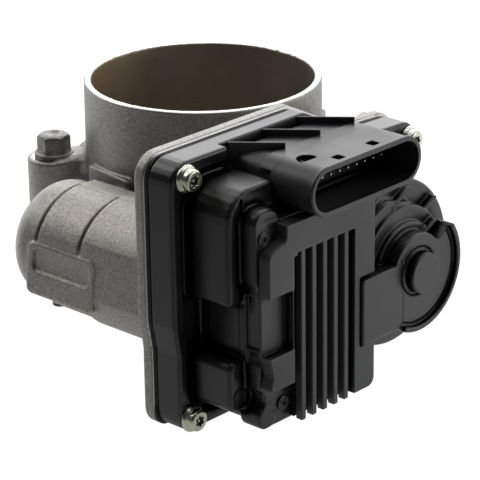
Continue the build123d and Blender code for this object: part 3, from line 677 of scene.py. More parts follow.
def set_on_spots(name, source, spots, turns, material):
    """Sets one made piece on each spot, with its own turn, and freezes the result."""
    cloud = bpy.data.meshes.new(name)
    cloud.from_pydata([[c * MM for c in s] for s in spots], [], [])
    layer = cloud.attributes.new("turn", "FLOAT_VECTOR", "POINT")
    layer.data.foreach_set("vector", [c for t in turns for c in t])
    values = {"Piece": source, "Finish": material}
    return run_tree(name, spread_tree(name + "_spots", False), values, cloud)


# ------------------------------------------------------------------ finishes
def new_material(name):
    """A material with its tree, its shader and the function that adds its nodes."""
    material = bpy.data.materials.new(name)
    material.use_nodes = True
    tree = material.node_tree
    return material, tree, tree.nodes["Principled BSDF"], adder(tree)


def wire_shader(tree, shader, tone, roughness, normal):
    for key, socket in (("Base Color", tone), ("Roughness", roughness), ("Normal", normal)):
        tree.links.new(socket, shader.inputs[key])


def shade(colour, by, lift=0.0):
    """A colour made brighter or darker, never over white."""
    return tuple(min(1.0, c * by + lift) for c in colour)


def place(add):
    return add("ShaderNodeTexCoord").outputs["Object"]


def reading(add, name):
    """A point attribute of the mesh: edge, nook or shut."""
    return add("ShaderNodeAttribute", attribute_name=name).outputs["Fac"]


def mixed(add, fac, a, b, mode="MIX"):
    node = add("ShaderNodeMix", data_type="RGBA", blend_type=mode)
    tree = node.id_data
    sockets = {"Factor": node.inputs[0], "A": node.inputs[6], "B": node.inputs[7]}
    for key, value in (("Factor", fac), ("A", a), ("B", b)):
        if isinstance(value, bpy.types.NodeSocket):
            tree.links.new(value, sockets[key])
        else:
            sockets[key].default_value = value if key == "Factor" else (*value, 1.0)
    return node.outputs[2]


def noise(add, where, scale, detail=3.0, rough=0.55, stretch=None):
    if stretch is not None:
        where = add("ShaderNodeMapping", {"Vector": where, "Scale": stretch}).outputs[0]
    inputs = {"Vector": where, "Scale": scale, "Detail": detail, "Roughness": rough}
    return add("ShaderNodeTexNoise", inputs).outputs["Fac"]


def scaled(add, value, low, high, from_low=0.0, from_high=1.0):
    """A value's range mapped to low..high and held there."""
    inputs = {"Value": value, "From Min": from_low, "From Max": from_high}
    inputs.update({"To Min": low, "To Max": high})
    return add("ShaderNodeMapRange", inputs).outputs["Result"]


def product(add, a, b, operation="MULTIPLY"):
    return add("ShaderNodeMath", {0: a, 1: b}, operation=operation).outputs[0]


def bumps(add, layers):
    """Chained bump nodes: (height, strength, distance in metres)."""
    last = None
    for height, strength, distance in layers:
        inputs = {"Height": height, "Strength": strength, "Distance": distance}
        if last is not None:
            inputs["Normal"] = last
        last = add("ShaderNodeBump", inputs).outputs["Normal"]
    return last


def sand_cast(name, light, dark, grain):
    """Cast metal with the grain of its sand, rubbed on its edges, with painted shade and some dirt in
    its nooks and painted shade where shut in.
    """
    material, tree, shader, add = new_material(name)
    where = place(add)
    fine = noise(add, where, 0.55 / grain, 4.0, 0.7)
    medium = noise(add, where, 420.0, 3.0, 0.6)
    cloud = noise(add, where, 55.0, 3.0, 0.6)
    wide = noise(add, where, 17.0, 2.0, 0.5)
    edge = reading(add, "edge")
    nook = reading(add, "nook")
    tone = mixed(add, scaled(add, cloud, 0.25, 0.8, 0.36, 0.64), dark, light)
    warm = tuple(c * k for c, k in zip(light, (1.04, 1.0, 0.94)))
    tone = mixed(add, scaled(add, wide, 0.0, 0.6, 0.45, 0.7), tone, warm)
    speck = scaled(add, fine, 0.0, 0.75, 0.50, 0.66)
    tone = mixed(add, speck, tone, shade(dark, 0.66))
    glint = scaled(add, fine, 0.0, 0.65, 0.44, 0.36)
    tone = mixed(add, glint, tone, shade(light, 1.3))
    rubbed = scaled(add, edge, 0.0, 0.55, 0.25, 0.75)
    tone = mixed(add, rubbed, tone, shade(light, 1.35))
    # painted shade, with some dirt, darkens the concave nooks
    dirt_and_painted_shade = scaled(add, nook, 0.0, 0.6, 0.25, 0.9)
    tone = mixed(add, dirt_and_painted_shade, tone, shade(dark, 0.42))
    # painted shade: shut-in places darkened nearly to black
    shut = reading(add, "shut")
    tone = mixed(add, scaled(add, shut, 0.0, 0.75, 0.12, 0.7), tone, shade(dark, 0.25))
    dull = scaled(add, cloud, 0.42, 0.56, 0.3, 0.7)
    dull = product(add, dull, scaled(add, rubbed, 1.0, 0.7))
    shader.inputs["Metallic"].default_value = 0.78
    layers = [(wide, 0.12, 0.0012), (medium, 0.22, 0.00022), (fine, 0.7, 0.00018)]
    wire_shader(tree, shader, tone, dull, bumps(add, layers))
    return material


def turned_metal(name, colour, roughness, along, metallic=1.0, painted_reflection_tint=None, fine=2600.0):
    """Metal with tool lines: circles round z on a face, rings up z in a bore, or rings along x."""
    material, tree, shader, add = new_material(name)
    where = place(add)
    split = add("ShaderNodeSeparateXYZ", {"Vector": where})
    x, y, z = split.outputs
    if along == "face":
        squares = product(add, product(add, x, x), product(add, y, y), "ADD")
        ring = product(add, squares, 0.5, "POWER")
    else:
        ring = z if along == "bore" else x
    lines = add("ShaderNodeCombineXYZ", {"X": ring}).outputs[0]
    cut = noise(add, lines, fine, 2.0, 0.6)
    patch = noise(add, where, 48.0, 3.0, 0.6)
    pit = noise(add, where, 1500.0, 3.0, 0.7)
    tone = mixed(add, scaled(add, patch, 0.0, 1.0, 0.38, 0.66), shade(colour, 0.82), colour)
    # painted reflection: warm brown patches standing in for what the bored duct reflects
    if painted_reflection_tint is not None:
        broad = noise(add, where, 20.0, 2.5, 0.55)
        tone = mixed(add, scaled(add, broad, 0.0, 0.9, 0.42, 0.62), tone, painted_reflection_tint)
    tone = mixed(add, scaled(add, pit, 0.0, 0.5, 0.55, 0.7), tone, shade(colour, 0.6))
    tone = mixed(add, scaled(add, cut, 0.0, 0.3, 0.5, 0.7), tone, shade(colour, 1.25))
    shine = scaled(add, patch, roughness * 0.85, roughness * 1.2, 0.3, 0.7)
    shader.inputs["Metallic"].default_value = metallic
    layers = [(cut, 0.35, 0.00004), (pit, 0.3, 0.00005)]
    wire_shader(tree, shader, tone, shine, bumps(add, layers))
    return material


def moulded_plastic(name, colour, roughness, texture=0.25, grain=0.00035):
    """Plastic with flow marks and a fine grain, rubbed on its edges, with painted shade (darker colour,
    weaker reflections) in its nooks and where shut in.
    """
    material, tree, shader, add = new_material(name)
    where = place(add)
    fine = noise(add, where, 0.6 / grain, 3.0, 0.6)
    flow = noise(add, where, 70.0, 2.5, 0.55, (1.0, 0.6, 0.6))
    wide = noise(add, where, 22.0, 2.0, 0.5)
    edge = reading(add, "edge")
    nook = reading(add, "nook")
    pale = shade(colour, 1.9, 0.006)
    tone = mixed(add, scaled(add, flow, 0.0, 0.55, 0.42, 0.68), colour, pale)
    dusty = scaled(add, fine, 0.0, 0.25, 0.58, 0.72)
    tone = mixed(add, dusty, tone, shade(colour, 3.0, 0.01))
    rubbed = scaled(add, edge, 0.0, 0.5, 0.25, 0.8)
    tone = mixed(add, rubbed, tone, shade(colour, 3.2, 0.012))
    # painted shade in the concave nooks
    tone = mixed(add, scaled(add, nook, 0.0, 0.7, 0.3, 0.9), tone, shade(colour, 0.4))
    # painted shade where the surface is shut in
    shut = reading(add, "shut")
    tone = mixed(add, scaled(add, shut, 0.0, 0.9, 0.2, 0.7), tone, shade(colour, 0.15))
    shine = scaled(add, wide, roughness * 0.82, roughness * 1.18, 0.35, 0.65)
    shine = product(add, shine, scaled(add, flow, 0.92, 1.1, 0.35, 0.65))
    # painted shade: reflections weakened where shut in and in the nooks
    open_gloss = scaled(add, shut, 0.75, 0.03, 0.14, 0.55)
    gloss = product(add, open_gloss, scaled(add, nook, 1.0, 0.3, 0.3, 0.9))
    tree.links.new(gloss, shader.inputs["Specular IOR Level"])
    shader.inputs["IOR"].default_value = 1.52
    layers = [(flow, 0.10, 0.0010), (fine, texture, 0.00006)]
    wire_shader(tree, shader, tone, shine, bumps(add, layers))
    return material


def plated(name, colour, roughness, tint_to, bump=0.2):
    """Bright metal in clouds of two tones."""
    material, tree, shader, add = new_material(name)
    where = place(add)
    cloud = noise(add, where, 260.0, 3.0, 0.6)
    wipe = noise(add, where, 900.0, 3.0, 0.65)
    pit = noise(add, where, 3800.0, 2.0, 0.6)
    edge = reading(add, "edge")
    nook = reading(add, "nook")
    tone = mixed(add, scaled(add, cloud, 0.0, 1.0, 0.38, 0.64), colour, tint_to)
    tone = mixed(add, scaled(add, edge, 0.0, 0.5, 0.3, 0.8), tone, shade(colour, 1.2))
    # painted shade in the nooks, such as the star recess
    tone = mixed(add, scaled(add, nook, 0.0, 0.75, 0.25, 0.9), tone, shade(colour, 0.25))
    shine = scaled(add, wipe, roughness * 0.75, roughness * 1.35, 0.35, 0.65)
    shader.inputs["Metallic"].default_value = 1.0
    layers = [(wipe, bump, 0.00005), (pit, bump, 0.00003)]
    wire_shader(tree, shader, tone, shine, bumps(add, layers))
    return material


def coat(piece, *materials):
    piece.data.materials.clear()
    for material in materials:
        piece.data.materials.append(material)


def finish_node(node, *materials):
    """Gives a CAD node's own object better materials in its slots."""
    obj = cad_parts[node]
    for i in range(max(1, len(obj.material_slots))):
        if i < len(obj.material_slots):
            obj.material_slots[i].material = materials[min(i, len(materials) - 1)]
        else:
            obj.data.materials.append(materials[0])


class Finishes:
    """Every finish of the part, made once."""

    made = {}

    @classmethod
    def get(cls, name):
        if name not in cls.made:
            s = bpy.context.scene.throttle_finish
            grain = bpy.context.scene.throttle_sizes.grain
            seal = (0.014, 0.014, 0.014)
            makers = {
                "sand_cast": lambda: sand_cast(
                    "sand_cast_aluminium", s.cast_light, s.cast_dark, grain
                ),
                "machined": lambda: turned_metal("machined_rim", tuple(s.machined), 0.30, "face"),
                # the bored duct's brown patches are a painted reflection
                "bored": lambda: turned_metal(
                    "bored_duct", tuple(s.bored), 0.46, "bore", 0.6, (0.46, 0.33, 0.19), 1400.0
                ),
                "plastic": lambda: moulded_plastic("black_moulding", tuple(s.plastic), 0.30, 0.22),
                "socket": lambda: moulded_plastic("socket_moulding", tuple(s.plastic), 0.36, 0.25),
                "panel": lambda: moulded_plastic("charcoal_panel", tuple(s.panel), 0.46, 0.35, 0.0003),
                "zinc": lambda: plated("bright_zinc", tuple(s.zinc), 0.22, (0.66, 0.66, 0.42)),
                "bolt": lambda: plated("dull_bolt", tuple(s.bolt), 0.46, (0.22, 0.215, 0.2), 0.45),
                "tinned": lambda: plated("tinned_contact", (0.72, 0.71, 0.68), 0.25, (0.6, 0.59, 0.55)),
                "ground": lambda: turned_metal("ground_steel", (0.60, 0.60, 0.61), 0.25, "x"),
                "disc": lambda: turned_metal("throttle_disc", (0.62, 0.59, 0.50), 0.32, "bore"),
                "brass": lambda: plated("satin_brass", (0.72, 0.56, 0.28), 0.30, (0.60, 0.45, 0.22)),
                "spring": lambda: plated("spring_wire", (0.32, 0.32, 0.34), 0.30, (0.25, 0.25, 0.27)),
                "nylon": lambda: moulded_plastic("natural_nylon", (0.62, 0.58, 0.48), 0.42, 0.25),
                "magnet": lambda: moulded_plastic("sintered_magnet", (0.10, 0.10, 0.105), 0.6, 0.6),
                "board": lambda: moulded_plastic("board_lacquer", (0.02, 0.12, 0.05), 0.25, 0.15),
                "chip": lambda: moulded_plastic("chip_package", (0.02, 0.02, 0.02), 0.5, 0.35),
                "rubber": lambda: moulded_plastic("seal_rubber", seal, 0.62, 0.4, 0.0006),
            }
            cls.made[name] = makers[name]()
        return cls.made[name]


# ------------------------------------------------------------------ the casting
def cell(size, coarser=1.5):
    return size / MM * 1.0


def turn_z(x, y, angle):
    return Matrix.Translation((x, y, 0)) @ Matrix.Rotation(math.radians(angle), 4, "Z")


def cast_collar(block):
    block.add(bar("z", 0, 0, BODY_R, 0, 38.5, 1.2))
    block.add(bar("z", 0, 0, COLLAR_R + 0.35, 20, RIM_Z, 0.35, 0.35 / 52), 2.0)
    # two raised rectangular pads at the foot of the collar
    pad = brick(-10.5, 10.5, -COLLAR_R - 1.6, -34, 40, 47.2, 1.0, 0.6, "y")
    block.add(placed(pad, turn_z(0, 0, -7)), 1.0)
    pad = brick(-9, 9, -COLLAR_R - 0.9, -34, 44, 58, 1.5, 0.5, "y")
    block.add(placed(pad, turn_z(0, 0, 128)), 1.0)


def cast_lugs(block, fillet, edge):
    for x, y in LUGS:
        block.add(bar("z", x, y, LUG_R + 0.1, 0, SEAT_Z, edge), fillet)
        web = brick(-7, 7, -7, 7, 0, SEAT_Z, 1.0, edge, "z")
        block.add(placed(web, turn_z(0.84 * x, 0.84 * y, 45)), fillet)
        web = brick(-4.2, 4.2, -9, 9, 0, SEAT_Z, 0.5, edge, "z")
        turn = math.degrees(math.atan2(y, x)) + 90
        block.add(placed(web, turn_z(0.80 * x, 0.80 * y, turn)), fillet)
        foot_x = sorted((x, math.copysign(30.0, x)))
        foot_y = sorted((0.0, y))
        block.add(brick(*foot_x, *foot_y, 0, 9.0, 1.0, edge, "z"), fillet)
    for low, high in ((-41, -24), (24, 41)):
        block.add(brick(-LUG_AT, LUG_AT, low, high, 0, 9, 1.0, edge, "z"), fillet)
        if low > 0:
            for x in (-18.0, 0.0, 18.0):
                rib = brick(-1.6, 1.6, 0, 5.5, 4, 34, 0.3, 0.8, "z")
                block.add(placed(rib, Matrix.Translation((x, 37.5, 0))), 1.5)


def cast_motor_housing(block, fillet, step):
    y, z = MOTOR_Y, MOTOR_Z
    shape = Block(block.low, block.low + block.step * (np.array(block.count) - 1), block.step)
    shape.add(bar("x", y, z, HOUSING_R - step, MOTOR_FAR_X - 3.8, CASE_BACK_X + 1, 9.5))
    # two bands, each stepping up from a groove
    for k, at in enumerate(BAND_X):
        shape.add(bar("x", y, z, HOUSING_R + k * step, at, CASE_BACK_X + 1, 0.45))
    for k, at in enumerate(BAND_X):
        foot = circle(y, z, HOUSING_R + (k - 1) * step - GROOVE_DEEP)
        ring = without(circle(y, z, HOUSING_R + 4), foot)
        shape.cut(prism("x", ring, at - GROOVE_WIDE, at), 0.2)
    # ledge along the top, on the duct's side
    shape.add(brick(1.0, CASE_BACK_X, y - 1, y + 6.0, z + 10, z + HOUSING_R + 0.35, 0.6, 0.5), 0.8)
    shape.add(brick(21.0, CASE_BACK_X, y - 1, y + 6.4, z + 10, z + HOUSING_R + 0.9, 0.6, 0.5), 0.8)
    # flat band down the front
    tilt = math.radians(172)
    low = [-40, -90, 14]
    high = [CASE_BACK_X - 2.5, -70, 39.3]
    band = slab((0, -77.3, 39.3), (0, math.cos(tilt), math.sin(tilt)), low, high)
    cut, grid = shape.window(band, 0)
    shape.d[cut] = soft_max(shape.d[cut], -band.distance(grid), 0.0)
    # lower scallops
    shape.add(bar("x", y + 1.5, z - 1.2, HOUSING_R - 0.6, 1.0, CASE_BACK_X, 1.2), 0.8)
    shape.add(bar("x", y + 3.0, z - 1.8, HOUSING_R - 0.4, 22.0, CASE_BACK_X, 1.2), 0.8)
    block.d = soft_min(block.d, shape.d, fillet)
    # web between housing and duct
    block.add(brick(MOTOR_FAR_X, CASE_BACK_X, y, 0, z - 13, z + 11.5, 1.0, 1.0), fillet)
    # label boss with an empty recess
    spin = Matrix.Translation((11.6, -78.4, 26.3)) @ Matrix.Rotation(math.radians(-8), 4, "X")
    block.add(placed(brick(-15.4, 15.4, -1.15, 4, -8.6, 8.6, 2.4, 0.5, "y"), spin), 0.35)
    block.cut(placed(brick(-12.6, 12.6, -3, -0.35, -0.6, 6.6, 2.0, 0.2, "y"), spin), 0.25)
    # shallow oval pocket beside the case plate
    lean = Matrix.Translation((42, y, z)) @ Matrix.Rotation(math.radians(-33), 4, "X")
    block.cut(placed(brick(-9, 12, -5.0, 5.0, 20.2, 30, 4.2, 0.5, "z"), lean), 0.9)


def cast_case_plate(block, fillet, edge):
    outline = polygon(CASE_OUTLINE)
    block.add(prism("x", outline, CASE_BACK_X, CASE_X, edge), 2.2)
    block.add(bar("x", 0, SHAFT_Z, 16.0, 0, CASE_BACK_X + 1, 1.0), fillet)
    block.add(brick(20, CASE_BACK_X + 1, -18, 18, 6, 40, 1.0, 1.0), fillet)
    for y, z in COVER_SCREWS[2:]:
        block.add(bar("x", y, z, 5.0, CASE_BACK_X - 5, CASE_BACK_X + 1, 0.8), 1.5)
    for y in (-8.0, 12.0):
        block.add(brick(38, CASE_BACK_X + 1, y - 1.6, y + 1.6, 36, 60, 0.8, 0.8), 2.0)
    for z in (0.0, 52.0):
        block.add(brick(30, CASE_BACK_X + 1, 14, 30, z - 1.6, z + 1.6, 0.8, 0.8), 2.0)


def cast_far_boss(block, fillet):
    block.add(bar("x", 0, SHAFT_Z, 12.0, -56, 0, 0.8), fillet)
    for turn in (45, 135, 225, 315):
        rib = brick(-54, -38, -1.5, 1.5, 6, 15.5, 0.4, 0.7)
        spin = Matrix.Translation((0, 0, SHAFT_Z)) @ Matrix.Rotation(math.radians(turn), 4, "X")
        block.add(placed(rib, spin), 1.5)


def bore_and_drill(block):
    block.cut(bar("z", 0, 0, BORE_R, -2, RIM_Z + 2), 0.3)
    block.cut(bar("x", 0, SHAFT_Z, SHAFT_R + 0.3, -60, CASE_X + 2))
    block.cut(bar("x", 0, SHAFT_Z, 8.0, -60, -42))
    block.cut(bar("x", 0, SHAFT_Z, 8.0, BORE_R + 3, CASE_X))
    block.cut(bar("x", 0, SHAFT_Z, 11.0, CASE_BACK_X - 8, CASE_X + 2))
    block.cut(bar("x", 0, SHAFT_Z, 13.8, CASE_BACK_X - 1, CASE_X + 2))
    block.cut(bar("x", MOTOR_Y, MOTOR_Z, MOTOR_R + 0.4, MOTOR_FAR_X, CASE_X + 2))
    for x, y in LUGS:
        block.cut(bar("z", x, y, 3.3, -2, SEAT_Z + 2))
    for a, b in COVER_SCREWS:
        block.cut(bar("x", a, b, 2.0, CASE_BACK_X - 6, CASE_X + 2))


def machined_faces(mesh):
    """Slot 1 for the faces that a cutter finished, slot 2 for the bored duct."""
    at, normal = face_frames(mesh)
    slot = np.zeros(len(at), np.int32)
    radius = np.hypot(at[:, 0], at[:, 1])
    slot[(at[:, 2] > RIM_Z - 0.5) & (normal[:, 2] > 0.6) & (radius < 41)] = 1
    slot[(at[:, 2] < 0.4) & (normal[:, 2] < -0.8) & (at[:, 0] < 50)] = 1
    slot[(at[:, 0] > CASE_X - 0.3) & (normal[:, 0] > 0.8)] = 1
    for x, y in LUGS:
        near = np.hypot(at[:, 0] - x, at[:, 1] - y) < 7.6
        slot[near & (np.abs(at[:, 2] - SEAT_Z) < 0.4) & (normal[:, 2] > 0.9)] = 1
    inward = at[:, 0] * normal[:, 0] + at[:, 1] * normal[:, 1] < -0.5 * np.maximum(radius, 1)
    slot[(radius < BORE_R + 0.4) & inward & (at[:, 2] > -0.5)] = 2
    mesh.polygons.foreach_set("material_index", slot)
    mesh.update()


class THROTTLE_OT_casting(bpy.types.Operator):
    """Sand-cast housing: collar, lugs, motor housing and gear case plate"""

    bl_idname = "throttle.casting"
    bl_label = "Casting"

    def execute(self, context):
        s = context.scene.throttle_sizes
        step = cell(s.casting_step, 1.6)
        fillet = s.casting_fillet / MM
        edge = s.casting_edge / MM
        block = Block((-58.4, -86.4, -14.4), (57.6, 47.4, 80.4), step)
        cast_collar(block)
        cast_lugs(block, fillet, edge)
        cast_motor_housing(block, fillet, s.step_height / MM)
        cast_far_boss(block, fillet)
        cast_case_plate(block, fillet, edge)
        bore_and_drill(block)
        piece = moulded(block, "cast_housing", 185000)
        coat(piece, Finishes.get("sand_cast"), Finishes.get("machined"), Finishes.get("bored"))
        machined_faces(piece.data)
        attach(piece, "housing")
        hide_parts("throttle_housing")
        return {"FINISHED"}


# ------------------------------------------------------------------ the cover
def round_islands(spots, r):
    """One outline of a circle round every spot."""
    islands = circle(*spots[0], r)
    for y, z in spots[1:]:
        islands = joined(islands, circle(y, z, r))
    return islands


def cover_skirt(block, edge):
    outline = polygon(CASE_OUTLINE)
    block.add(prism("x", grown(outline, -0.9), SKIRT_BACK_X, SKIRT_X, edge))
    field = without(grown(outline, -5.2), round_islands(COVER_SCREWS, 5.4), 1.2)
    block.cut(prism("x", field, FLOOR_X, SKIRT_X + 3, 0.6), 0.5)


def cover_blocks(block, fillet):
    upper = polygon([(-76.2, 33.6, 1.5), (-55.0, 33.6, 0), (-55.0, 69.8, 2.0), (-76.2, 69.8, 10.0)])
    block.add(prism("x", upper, FOOT_X, BOX_X, 1.5, 0.012), fillet)
    lower = rounded_rect(-76.2, -57.0, -1.4, 15.7, 3.2)
    block.add(prism("x", lower, FOOT_X, BOX_X, 1.5, 0.012), fillet)
    main = rounded_rect(-69.7, -18.5, -6.0, 64.2, 4.0)
    block.add(prism("x", main, FOOT_X, BOX_X, 1.2, 0.008), fillet)
    # pinched groove between the block and the control module
    groove = polygon([(-70.6, 36.5, 0.5), (-69.4, 36.5, 0.5), (-69.4, 67.0, 0.5), (-70.6, 67.0, 0.5)])
    block.cut(prism("x", groove, BOX_X - 1.2, BOX_X + 1, 0.2), 0.3)
    side = rounded_rect(-24.0, 16.0, -4.2, 58.2, 6.0)
    block.add(prism("x", side, FOOT_X, 76.0, 1.2, 0.01), fillet)


def cover_tray(block):
    low = rounded_rect(-69.4, -20.3, -7.2, 60.0, 3.0)
    block.add(prism("x", low, BOX_X - 2, STAKE_X - 0.02, 0.7), 0.6)
    boss = rounded_rect(-70.9, -60.0, 38.2, 64.0, 4.6)
    block.add(prism("x", boss, BOX_X - 2, STAKE_X, 0.9), 0.6)
    foot = joined(rounded_rect(-69.5, -61.0, 10.0, 18.0, 2.0), circle(-66.2, -3.6, 3.6), 2.0)
    block.add(prism("x", foot, BOX_X - 2, STAKE_X, 0.7), 0.6)
    # scooped waist above the lower stake
    block.cut(bar("x", -70.8, 2.6, 3.9, BOX_X, STAKE_X + 2, 0.6), 0.8)
    block.cut(bar("x", -72.2, 17.0, 3.4, BOX_X + 1.0, STAKE_X + 2, 0.6), 0.8)
    # wall that stops short under the upper stake's boss
    block.cut(brick(BOX_X + 0.6, STAKE_X + 2, -72, -68.3, 19.5, 36.6, 0.6, 0.3), 0.5)


def cover_dome(block):
    block.add(bar("x", 0, SHAFT_Z, DOME_R, FOOT_X, 83.0, 1.3, 0.01), 1.2)
    slope = polygon([(-19, 30, 0), (-19, 44, 3), (-6, 50.5, 6), (6, 47, 6), (14, 38, 5), (14, 30, 0)])
    block.add(prism("x", slope, FLOOR_X, 85.6, 0.9, 0.05), 1.2)
    # thin straight ribs across the dome
    for (y0, z0), (y1, z1), top in (
        ((-4.0, 46.3), (5.4, 50.8), 86.0),
        ((9.6, 39.9), (18.6, 44.2), 86.0),
        ((5.2, 34.6), (13.6, 38.6), 90.0),
    ):
        turn = math.atan2(z1 - z0, y1 - y0)
        half = math.hypot(y1 - y0, z1 - z0) / 2
        middle = Matrix.Translation((0, (y0 + y1) / 2, (z0 + z1) / 2))
        rib = brick(FLOOR_X, top, -half, half, -0.55, 0.55, 0.1, 0.35)
        block.add(placed(rib, middle @ Matrix.Rotation(turn, 4, "X")), 0.35)


def shaft_ring(outer, inner):
    return without(circle(0, SHAFT_Z, outer), circle(0, SHAFT_Z, inner))


def cover_disc(block):
    corner = polygon(
        [
            (-32, LINK_TOP, 0),
            (4.6, LINK_TOP, 0),
            (21.5, LINK_TOP + 10.2, 0),
            (21.5, 64, 0),
            (-32, 64, 0),
        ]
    )
    link_block = rounded_rect(LINK_LEFT, 0, LINK_LOW, LINK_TOP, 0.8)
    face = joined(circle(0, SHAFT_Z, DISC_R), link_block)
    front = without(face, without(corner, circle(0, SHAFT_Z, 12.0)), 0.3)
    block.add(prism("x", face, 80.0, 87.0, 0.8), 0.6)
    block.add(bar("x", 0, SHAFT_Z, 15.0, 80.0, 88.5, 0.9), 0.5)
    block.add(bar("x", 0, SHAFT_Z, 12.4, 80.0, DISC_X, 0.5), 0.6)
    block.add(prism("x", front, FACE_BACK_X, DISC_X, 0.45))
    # raised lip round the free part of the disc, and the channel inside it
    open_side = joined(corner, rounded_rect(-40, -8.0, -20, 64, 0))
    lip = without(shaft_ring(DISC_R + 0.15, DISC_R - 1.7), open_side, 0.3)
    block.add(prism("x", lip, DISC_X - 3, DISC_X + 1.5, 0.4), 0.15)
    channel = without(shaft_ring(DISC_R - 1.7, DISC_R - 2.9), open_side)
    block.cut(prism("x", channel, DISC_X - 0.35, DISC_X + 1), 0.2)
    block.add(bar("x", 0, SHAFT_Z, 6.8, DISC_X - 1, DISC_X + 3.3, 0.4), 0.2)
    # narrow groove round the boss and along the link block
    block.cut(prism("x", shaft_ring(8.1, 7.3), DISC_X - 0.4, DISC_X + 1), 0.1)
    block.cut(brick(DISC_X - 0.3, DISC_X + 1, -8.2, -7.7, LINK_LOW - 1, LINK_TOP + 1), 0.1)
    # two parallel slots above the link block
    for z in (LINK_TOP + 0.9, LINK_TOP + 2.9):
        block.cut(brick(FACE_BACK_X, DISC_X + 1, -27.6, -14.0, z - 0.45, z + 0.45), 0.15)


def round_socket(in_y=0.0, in_z=0.0, off=0.05):
    """The socket's oval, drawn in at its ends and at its top and bottom."""
    w, h = SOCKET_HALF_W - in_y, SOCKET_HALF_H - in_z
    r = SOCKET_HALF_H - off
    return rounded_rect(SOCKET_Y - w, SOCKET_Y + w, SOCKET_Z - h, SOCKET_Z + h, r)


def cover_socket_root(block):
    root = round_socket(1.8, 0.7, 0.8)
    block.add(prism("x", rounded_rect(-52.0, -9.0, 57.0, 68.0, 3.0), FOOT_X, 79.8, 1.0), 1.0)
    # open pockets in the top of the skirt, and the slanting flange under the socket
    block.cut(brick(62.2, SKIRT_X + 12, -58.5, -9.0, 70.0, 80, 0.6, 0.2), 0.4)
    flange = polygon(
        [
            (66.0, -72.0, 0),
            (71.0, -73.0, 0.5),
            (97.2, -50.0, 0.5),
            (97.2, -47.5, 0),
            (80.0, -47.5, 0),
            (66.0, -60.0, 0),
        ]
    )
    slope = Matrix.Rotation(math.radians(14), 4, "Y") @ Matrix.Translation((-71, 0, 0))
    slope = Matrix.Translation((0, 0, 68.0)) @ slope
    block.add(placed(prism("z", flange, -0.7, 0.7, 0.3), slope), 0.5)
    # clearance for the socket piece
    block.cut(prism("x", grown(root, 0.12), 64.0, 83.3))
    whole = grown(round_socket(), 0.12)
    block.cut(prism("x", whole, SOCKET_BACK_X - 0.1, SOCKET_FRONT_X + 2))


def hollow_cover(block):
    inner = grown(polygon(CASE_OUTLINE), -4.4)
    inner = without(inner, round_islands(COVER_SCREWS + DOWELS, 5.2))
    block.cut(prism("x", inner, CASE_X - 1, FLOOR_X - 2.5))
    block.cut(bar("x", 0, SHAFT_Z, 27.3, CASE_X + 3, 65.6))
    block.cut(brick(60, 77.5, -67.0, -21.0, -3.0, 61.5, 1.0))
    block.cut(bar("x", IDLER[0], IDLER[1], 20.8, 60, 73.5))
    block.cut(brick(76.5, 86.4, -66.5, -22.5, 2.0, 57.0, 1.0))
    block.cut(bar("x", 0, SHAFT_Z, DOME_R - 2.5, 60, 80.5))
    block.cut(bar("x", 0, SHAFT_Z, 14.8, 70, 86.6))
    for y, z in COVER_SCREWS:
        block.cut(bar("x", y, z, 2.3, 50, SKIRT_X + 3))
    for y, z in STAKES:
        block.cut(bar("x", y, z, 1.3, STAKE_X - 1.6, STAKE_X + 2))


def rib_source():
    """One thin upright rib from the skirt's rim to the socket."""
    block = Block((-1.0, -2.0, -8.6), (17.5, 14.5, 1.4), 0.3)
    turn = math.atan2(11.3, 14.0)
    blade = brick(0, math.hypot(11.3, 14.0), -0.5, 0.5, -8.0, 0.6, 0.2, 0.3, "z")
    block.add(placed(blade, Matrix.Rotation(turn, 4, "Z")))
    return moulded(block, "rib_source", 6000)


class THROTTLE_OT_cover(bpy.types.Operator):
    """Moulded gear cover with its blocks, dome, disc and stake bosses"""

    bl_idname = "throttle.cover"
    bl_label = "Gear cover"

    def execute(self, context):
        s = context.scene.throttle_sizes
        step = cell(s.cover_step)
        block = Block((53.6, -85.5, -13.6), (99.5, 34.6, 79.6), step)
        cover_skirt(block, s.cover_edge / MM)
        cover_blocks(block, s.cover_fillet / MM)
        for shape in (cover_tray, cover_dome, cover_disc, cover_socket_root, hollow_cover):
            shape(block)
        piece = moulded(block, "moulded_cover", 190000)
        coat(piece, Finishes.get("plastic"))
        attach(piece, "housing")
        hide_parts("gear_cover")
        start = (62.0, -54.8, 76.2)
        pitch = (0.1, 16.1, 0.0)
        ribs = repeated("socket_ribs", rib_source(), start, pitch, 3, Finishes.get("plastic"))
        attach(ribs, "housing")
        return {"FINISHED"}


# ------------------------------------------------------------------ the panel
def panel_outline():
    return polygon(
        [
            (PANEL_L, 6.8, 1.0),
            (PANEL_L + 1.6, 12.0, 2.0),
            (PANEL_L, 18.0, 1.0),
            (PANEL_L, 51.6, 3.0),
            (PANEL_L + 8.0, 54.0, 2.4),
            (PANEL_L + 8.0, PANEL_TOP, 0.5),
            (PANEL_R, PANEL_TOP, 0.5),
            (PANEL_R, LINK_TOP + 1.0, 0.2),
            (LINK_LEFT - 0.4, LINK_TOP + 1.0, 0.4),
            (LINK_LEFT - 0.4, LINK_LOW - 0.4, 0.4),
            (PANEL_R, LINK_LOW - 0.4, 0.2),
            (PANEL_R, PANEL_LOW, 3.0),
            (PANEL_L + 14.2, PANEL_LOW, 0.3),
            (PANEL_L + 14.2, 6.8, 0.4),
        ]
    )


def fin_source():
    """One upright rib of the panel, square at its head and cut off square below."""
    block = Block((-3.0, -2.0, -57.5), (2.0, 4.0, 2.0), 0.25)
    block.add(brick(-2.6, 0.0, 0.0, FIN_PITCH - FIN_GAP, -56.0, 1.2, 0.15, 0.22))
    return moulded(block, "fin_source", 5000)


def between_fins(p):
    """Picks the points of the panel's floor that lie among its ribs."""
    return (p[:, 0] < PANEL_X - 1.2) & (p[:, 1] > FIN_FIRST_Y - 3.5) & (p[:, 2] < FIN_TOP + 0.4)


